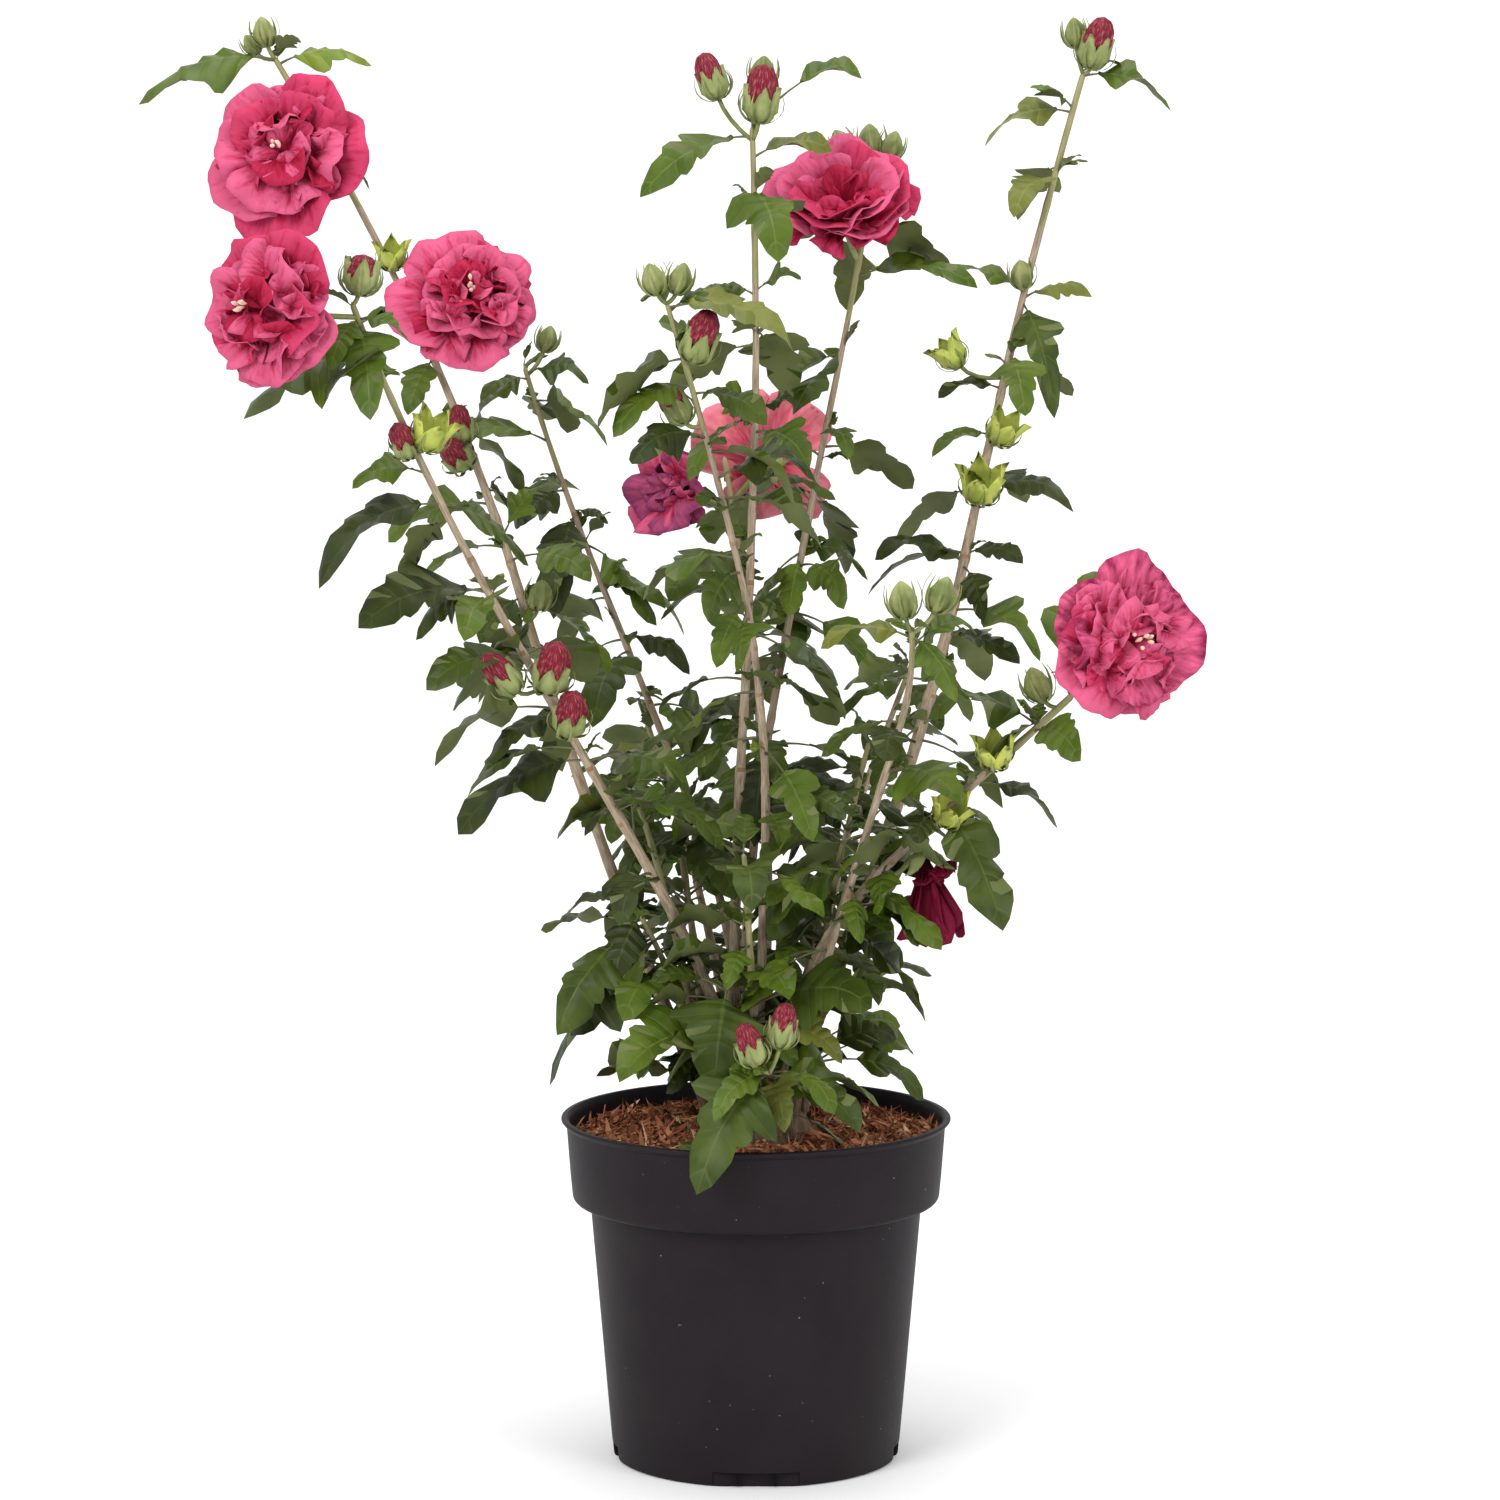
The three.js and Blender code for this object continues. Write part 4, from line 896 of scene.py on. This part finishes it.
# ---------------- blooms
def petal(piece, seat, face, turn, size, fan, tilt, curl, cup, ruffle, rng, tone, rows=11, columns=15):
    """One petal: a rounded fan, bent along an arc. A point at the share v of the way out and the share u of
    the half angle lies size x v x (1 - 0.22 u^4) from the seat. Its leaning from the bloom's axis grows from
    tilt by curl, the sides cup inwards by the square of the distance across, and three waves that grow
    towards the rim push the sheet along its normal."""
    v = column(0, 1, rows)
    u = np.linspace(-1, 1, columns)[None, :]
    radial, level = spoke(face, turn)
    phase = rng.random(5) * 2 * np.pi
    notch = 0.035 * np.sin(4 * u + phase[0]) + 0.018 * np.sin(11 * u + phase[1])
    span = v * (1 - 0.22 * u ** 4 + notch * v ** 3)
    q = span * np.cos(fan * u)
    across = size * span * np.sin(fan * u)
    lean = tilt + curl * q
    out = size * (math.cos(tilt) - np.cos(lean)) / curl
    up = size * (np.sin(lean) - math.sin(tilt)) / curl
    wave = (0.10 * np.sin(2.9 * u + phase[2] + 1.5 * v) + 0.06 * np.sin(6.5 * u + phase[3] - 3 * v)
            + 0.022 * np.sin(12 * u + phase[4] + 4 * v))
    inward = size * ruffle * wave * v ** 1.3 + cup * across ** 2 / size
    points = laid_out(seat, (radial, out - inward * np.cos(lean)), (face, up + inward * np.sin(lean)),
                      (level, across))
    normal = unit(np.cross(np.gradient(points, axis=0), np.gradient(points, axis=1)))
    piece.sheet(points, normal, SHEET["petal"], tone, stacked(u * fan * 0.5 + turn, v))


def bloom_head(piece, bloom, seed):
    """A double bloom: a broad outer whorl, a leaning second one, and rosettes of small crumpled petals that
    stand round the middle, each rosette turned a little outwards, with one more in the middle."""
    rng = np.random.default_rng(seed)
    draw = rng.random
    centre = bloom_centre(bloom)
    face = unit(np.array(bloom["face"], float))
    half = bloom["across"] / 2
    look = BLOOM_LOOKS[bloom["look"]]
    for count, size, fan, tilt, curl, cup, ruffle in look["whorls"]:
        start = draw() * 2 * np.pi
        for i in range(count):
            turn = start + 2 * math.pi * (i + 0.45 * (draw() - 0.5)) / count
            petal(piece, centre, face, turn, half * size * (0.84 + 0.26 * draw()), fan,
                  tilt + 0.3 * (draw() - 0.5), curl * (0.8 + 0.4 * draw()), cup, ruffle, rng,
                  rng.choice(look["outer"]))
    start = draw() * 2 * np.pi
    for i in range(look["rosettes"] + 1):
        radial, _ = spoke(face, start + 2 * math.pi * (i + 0.3 * draw()) / look["rosettes"])
        away = 0.0 if i == look["rosettes"] else 0.34 + 0.1 * draw()
        axis = unit(face + radial * 1.5 * away * look["open"])
        seat = centre + face * half * (0.34 - 0.45 * away) + radial * half * away
        for k in range(look["each"]):
            spin = 2 * math.pi * (k + 0.6 * draw()) / look["each"]
            petal(piece, seat, axis, spin, half * (0.36 + 0.24 * draw()), 0.55 + 0.4 * draw(),
                  0.1 + 0.6 * draw() * look["open"], 0.7 + 0.9 * draw(), 0.1 + 0.6 * draw(),
                  1.4 + 1.1 * draw(), rng, rng.choice(look["tones"]), rows=8, columns=11)
    for i in range(look["stamens"]):
        lean = unit(face + 0.5 * (rng.random(3) - 0.5))
        spot = centre + face * half * (0.66 + 0.12 * draw()) + (rng.random(3) - 0.5) * half * 0.16
        spindle(piece, spot, lean, 5 + 3 * draw(), 1, STAMEN, CREAM, rows=6, columns=7)


def grow_blooms():
    """Every bloom on its stalk, over a calyx of five sepals."""
    petals, calyxes = Piece(), Piece()
    sepals = BLOOM_CALYX
    for number, bloom in enumerate(BLOOMS):
        bloom_head(petals, bloom, BLOOM_SEED + number)
        centre = bloom_centre(bloom)
        face = unit(np.array(bloom["face"], float))
        path = bowed(column(0, 1, 7), on_stem(bloom["stem"], bloom["down"]), centre - face * 8, centre)
        tube(calyxes, path, np.linspace(*BLOOM_STALK, 7), GREEN, sides=7)
        calyx(calyxes, centre - face * sepals["behind"], face, sepals["radius"], sepals["length"], SEPAL,
              number, sepals["spread"])
    petals.make("bloom_petals", PETALS, MASSES, "petals")
    calyxes.make("bloom_calyxes", BUD_FINISHES, MASSES, "foliage")


# ---------------- buds
def calyx(piece, base, heading, radius, length, tone, seed, spread, broad=1.15):
    """Five pointed lobes round a cup: each is a thin sheet whose half width falls from the cup to a point,
    bowed outwards by spread x its length."""
    v = column(0, 1, 7)
    u = np.linspace(-1, 1, 5)[None, :]
    for i in range(5):
        radial, level = spoke(heading, 2 * math.pi * (i + 0.3 * chance(seed, i, 3)) / 5)
        half = radius * np.sin(math.pi / 5) * broad * (1 - v ** 1.8) ** 0.8 * np.minimum(1, 0.35 + 3 * v)
        out = radius * np.minimum(1, 0.25 + 2.4 * v) + spread * length * v ** 2
        up = length * (v * (1 - 0.3 * spread * v))
        points = laid_out(base, (heading, up), (radial, out * np.cos(u * 0.8)), (level, half * u))
        piece.sheet(points, radial, SHEET["sepal"], tone)


def bracts(piece, base, heading, radius, length, tone, seed):
    """Seven thin bracts under a bud: narrow blades that stand out and bend up."""
    v = column(0, 1, 6)
    u = np.array([[-1.0, 0.0, 1.0]])
    for i in range(7):
        radial, level = spoke(heading, 2 * math.pi * (i + 0.4 * chance(seed, i, 5)) / 7)
        out = radius * (0.4 + 0.9 * np.sin(v * 2.2))
        half = BRACT_HALF * (1 - v ** 2)
        points = laid_out(base, (heading, length * v ** 1.4), (radial, out), (level, half * u))
        piece.sheet(points, radial, SHEET["bract"], tone)


def grow_buds():
    """Every bud on its stalk with its bracts: a closed green one, a seed case in an open calyx, or a cone of
    rolled red petals in a cup."""
    piece = Piece()
    for root, reach, across, kind, seed in each_bud():
        middle = root + unit(reach) * max(np.linalg.norm(reach), across * 0.6 + 2)
        heading = unit(unit(reach) + UP * BUD_LIFT)
        base = middle - heading * across * 0.6
        half = across / 2
        guide = base - heading * np.linalg.norm(base - root) * 0.4
        tube(piece, bowed(column(0, 1, 5), root, guide, base + heading), BUD_STALK, GREEN, sides=7)
        bracts(piece, base, heading, half, across * (1.2 if kind == "green" else 0.85), GREEN, seed)
        if kind == "green":
            spindle(piece, base, heading, across * 1.3, half, CLOSED_BUD, GREEN, 18, 30, depth=0.2, twist=0.6)
        elif kind == "open":
            spindle(piece, base, heading, across * 0.7, half, SEED_CASE, YELLOW, depth=0.05)
            calyx(piece, base, heading, half * 0.95, across * 1.3, YELLOW, seed, spread=0.26, broad=1.75)
        else:
            tall = across * (1.5 if kind == "red" else 1.05)
            spindle(piece, base + heading * across * 0.1, heading, tall, half, PETAL_CONE, RED, 20, 44,
                    depth=0.07, twist=2.4, ruck=0.06, seed=seed)
            spindle(piece, base, heading, across * 0.8, half, CALYX_CUP, SEPAL, depth=0.06)
            calyx(piece, base, heading, half, across * 1.05, SEPAL, seed, spread=0.03)
    piece.make("buds", BUD_FINISHES, MASSES, "foliage")


# ---------------- pot and growing medium
def pot_outline():
    """The pot's outline, radius and height: from the middle of the base out and up over the foot, the body,
    the collar and the lip, and down the inside to the floor."""
    base, body, lip, wall = POT["body_foot"], POT["body_top"], POT["lip"], POT["wall"]
    collar, curve = POT["collar_foot"], POT["collar_round"]
    foot, top = POT["collar_foot_height"], POT["height"]
    under_lip = top - POT["lip_height"]
    floor = CHANNEL["height"] + wall
    slope = (body - base) / foot
    outline = [(0.01, 0), (base - 2, 0), (base - 0.6, 0.6), (base + 0.1, 2)]
    outline += [(base + (body - base) * s, foot * s) for s in (0.2, 0.5, 0.8, 0.995)]
    outline += [(body + 0.6, foot - 0.2), (collar - 4, foot)]
    outline += [(collar - curve + curve * math.sin(a), foot + curve - curve * math.cos(a))
                for a in np.linspace(0, 1.45, 7)]
    outline += [(collar + COLLAR_FLARE * (z - foot), z) for z in (140, 155, under_lip - 0.8)]
    outline += [(POT["collar_top"] + 0.8, under_lip)]
    outline += [(lip - 1 + math.sin(a), top - 1 + math.cos(a)) for a in np.linspace(1.9, 0, 6)]
    outline += [(lip - 2.6, top), (lip - 3.6, top - 1)]
    outline += [(collar + COLLAR_FLARE * (z - foot) - wall, z) for z in (top - 4, 150, foot + wall + 1.5)]
    outline += [(body + slope * wall - wall, foot + wall), (base + slope * floor - wall, floor)]
    outline += [(0.01, floor)]
    return np.array(outline)


def channel_cutters():
    """A box for each drain channel under the base and for the wider notch at its end, round about Z."""
    corner = np.array([[x, y, z] for z in (0, 1) for x, y in ((0, 0), (1, 0), (1, 1), (0, 1))], float)
    faces = np.array([[3, 2, 1, 0], [4, 5, 6, 7], [0, 1, 5, 4], [1, 2, 6, 5], [2, 3, 7, 6], [3, 0, 4, 7]])
    boxes = ((CHANNEL["inner"], CHANNEL["width"], CHANNEL["height"] - 0.02),
             (POT["body_foot"] - CHANNEL["notch_depth"], CHANNEL["notch_width"], CHANNEL["height"]))
    cutters = Piece()
    for i in range(CHANNEL["count"]):
        turn = 2 * math.pi * i / CHANNEL["count"]
        c, s = math.cos(turn), math.sin(turn)
        for start, width, height in boxes:
            size = (POT["body_top"] - start, width, height + 1)
            x, y, z = (np.array([start, -width / 2, -1]) + corner * size).T
            cutters.take(stacked(x * c - y * s, x * s + y * c, z), faces, np.zeros(len(faces)))
    return cutters.make("cutter", [], ["pot"], "pot_plastic", smooth=False)


def make_pot():
    """The pot: its outline turned about Z, with the drain channels and notches cut out."""
    outline = pot_outline()
    shell = Piece()
    shell.grid(turned(outline[:, :1], circle(192), outline[:, 1:]), 0)
    pot = shell.make("nursery_pot", [POT_FINISH], ["pot"], "pot_plastic")
    cutter = channel_cutters()
    cut = pot.modifiers.new("drains", "BOOLEAN")
    cut.operation, cut.object, cut.solver, cut.use_self = "DIFFERENCE", cutter, "EXACT", True
    shaped = bpy.data.meshes.new_from_object(pot.evaluated_get(bpy.context.evaluated_depsgraph_get()))
    pot.modifiers.clear()
    pot.data = shaped
    bpy.data.objects.remove(cutter)
    pot.data.set_sharp_from_angle(angle=math.radians(35))


def medium_relief(x, y):
    """The bumps of the medium's top: a sum of waves."""
    return 0.8 * (1.1 * np.sin(x / 7.3 + 1) * np.sin(y / 6.1) + 0.8 * np.sin(x / 3.1 - y / 4.3)
                  + 0.5 * np.sin(x / 1.7 + y / 2.1) + 1.2 * np.sin(x / 17 + 2) * np.cos(y / 15))


def make_bed():
    """The medium under the chips: a disc of radius x the share of a ring, its top raised by the bumps."""
    flat = turned(SOIL_EDGE * column(0, 1, 60), circle(160), SOIL_TOP - 0.6)
    top = flat.copy()
    top[..., 2] += medium_relief(flat[..., 0], flat[..., 1])
    bottom = flat[::-1].copy()
    bottom[..., 2] = SOIL_TOP - 12
    bed = Piece()
    bed.grid(np.concatenate([top, bottom])[:, ::-1], 0)
    bed.make("medium_bed", [MEDIUM_BED], ["growing_medium"], "bark_chips")


def make_chips():
    """Chips and fibres of bark, seeded: each is seven corners, placed along, across and above its heading by
    its own length, width and thickness, and shifted a little."""
    rng = np.random.default_rng(CHIPS["seed"])
    count = CHIPS["count"]
    radius = SOIL_EDGE * np.sqrt(rng.random(count)) * 0.985
    centre = turned(radius, rng.random(count) * 2 * np.pi, SOIL_TOP)
    centre[:, 2] += medium_relief(centre[:, 0], centre[:, 1]) + 1.9 * rng.random(count) - 0.5
    heading = unit(stacked(rng.normal(size=count), rng.normal(size=count), 0.45 * rng.normal(size=count)))
    long = 1.6 + 7.5 * rng.random(count) ** 2.2
    wide = 0.4 + 1.3 * rng.random(count) ** 2.4
    side, upward = rolled(*cross_axes(heading), (rng.random(count) * 2.4 - 1.2)[:, None])
    thick = 0.25 + 0.35 * rng.random(count)
    corners = np.array([[-1, -0.6, 0], [-0.8, 0.7, 0.2], [0.9, -0.5, 0.1], [1, 0.6, -0.1], [0, -1, 0.8],
                        [0.1, 1, 0.7], [0, 0, -1]])
    faces = np.array([[0, 4, 5, 1], [4, 2, 3, 5], [0, 1, 6, 6], [1, 5, 3, 6], [3, 2, 6, 6], [2, 4, 0, 6]])
    local = corners * (1 + 0.35 * rng.normal(size=(count, len(corners), 3)))
    points = laid_out(centre[:, None], (heading[:, None], local[..., 0] * long[:, None]),
                      (side[:, None], local[..., 1] * wide[:, None]),
                      (upward[:, None], local[..., 2] * thick[:, None]))
    reach = np.linalg.norm(points[..., :2], axis=-1, keepdims=True)
    points[..., :2] *= np.minimum(1, (SOIL_EDGE - 0.2) / np.maximum(reach, 1e-6))
    quads = (faces + (np.arange(count) * len(corners))[:, None, None]).reshape(-1, 4)
    shade = np.searchsorted(CHIPS["shades"], rng.random(count))
    chips = Piece()
    chips.take(points.reshape(-1, 3), quads, np.repeat(shade, len(faces)))
    chips.make("bark_chips", CHIP_FINISHES, ["growing_medium"], "bark_chips", smooth=False)


# ---------------- floor, light and camera
def set_stage():
    """A pale floor that curves up behind into a backdrop."""
    arc = np.linspace(0.1, np.pi / 2, 14)
    back = np.concatenate([np.linspace(-6, 2.2, 12), 2.2 + 1.6 * np.sin(arc), [3.8]])
    rise = np.concatenate([np.zeros(12), 1.6 - 1.6 * np.cos(arc), [7]])
    points = stacked(np.linspace(-7, 7, 8)[None, :], back[:, None], rise[:, None])
    mesh = bpy.data.meshes.new("pale_floor")
    quads = grid_faces(*points.shape[:2])
    mesh.from_pydata(points.reshape(-1, 3).tolist(), [], quads.reshape(-1, 4).tolist())
    mesh.polygons.foreach_set("use_smooth", np.ones(len(mesh.polygons), bool))
    mesh.materials.append(finish("pale_backdrop", (0.86, 0.86, 0.86), roughness=0.9, specular=0.1))
    floor = bpy.data.objects.new("pale_floor", mesh)
    bpy.context.collection.objects.link(floor)


def soft_light(name, spot, target, size, power):
    light = bpy.data.lights.new(name, "AREA")
    light.shape, light.size, light.energy = "DISK", size, power
    lamp = bpy.data.objects.new(name, light)
    lamp.location = spot
    lamp.rotation_euler = (Vector(target) - Vector(spot)).to_track_quat("-Z", "Y").to_euler()
    bpy.context.collection.objects.link(lamp)


def set_light_and_camera():
    world = bpy.data.worlds.new("studio")
    world.use_nodes = True
    feed(world.node_tree.nodes["Background"], Color=(1, 1, 1, 1), Strength=0.75)
    bpy.context.scene.world = world
    soft_light("front_left_softbox", (-1.6, -2.2, 1.9), (0, 0, 0.4), 1.6, 60)
    soft_light("front_right_softbox", (1.9, -1.8, 1.2), (0, 0, 0.35), 1.4, 30)
    soft_light("top_softbox", (0, 0.2, 2.4), (0, 0, 0.3), 1.8, 30)
    soft_light("backdrop_light", (0, 1.2, 2.2), (0, 3.8, 1.4), 2.0, 30)
    camera_data = bpy.data.cameras.new("view")
    camera_data.lens = 122.4
    camera_data.sensor_width = 36
    camera = bpy.data.objects.new("view", camera_data)
    camera.location = (-0.0029, -2.45, 0.64)
    camera.rotation_euler = (math.radians(90 - 6.81), 0, 0)
    bpy.context.collection.objects.link(camera)
    bpy.context.scene.camera = camera


bpy.context.scene.view_settings.view_transform = "Standard"
set_stage()
set_light_and_camera()
make_pot()
make_bed()
make_chips()
grow_leaves()
grow_canes()
grow_blooms()
grow_buds()
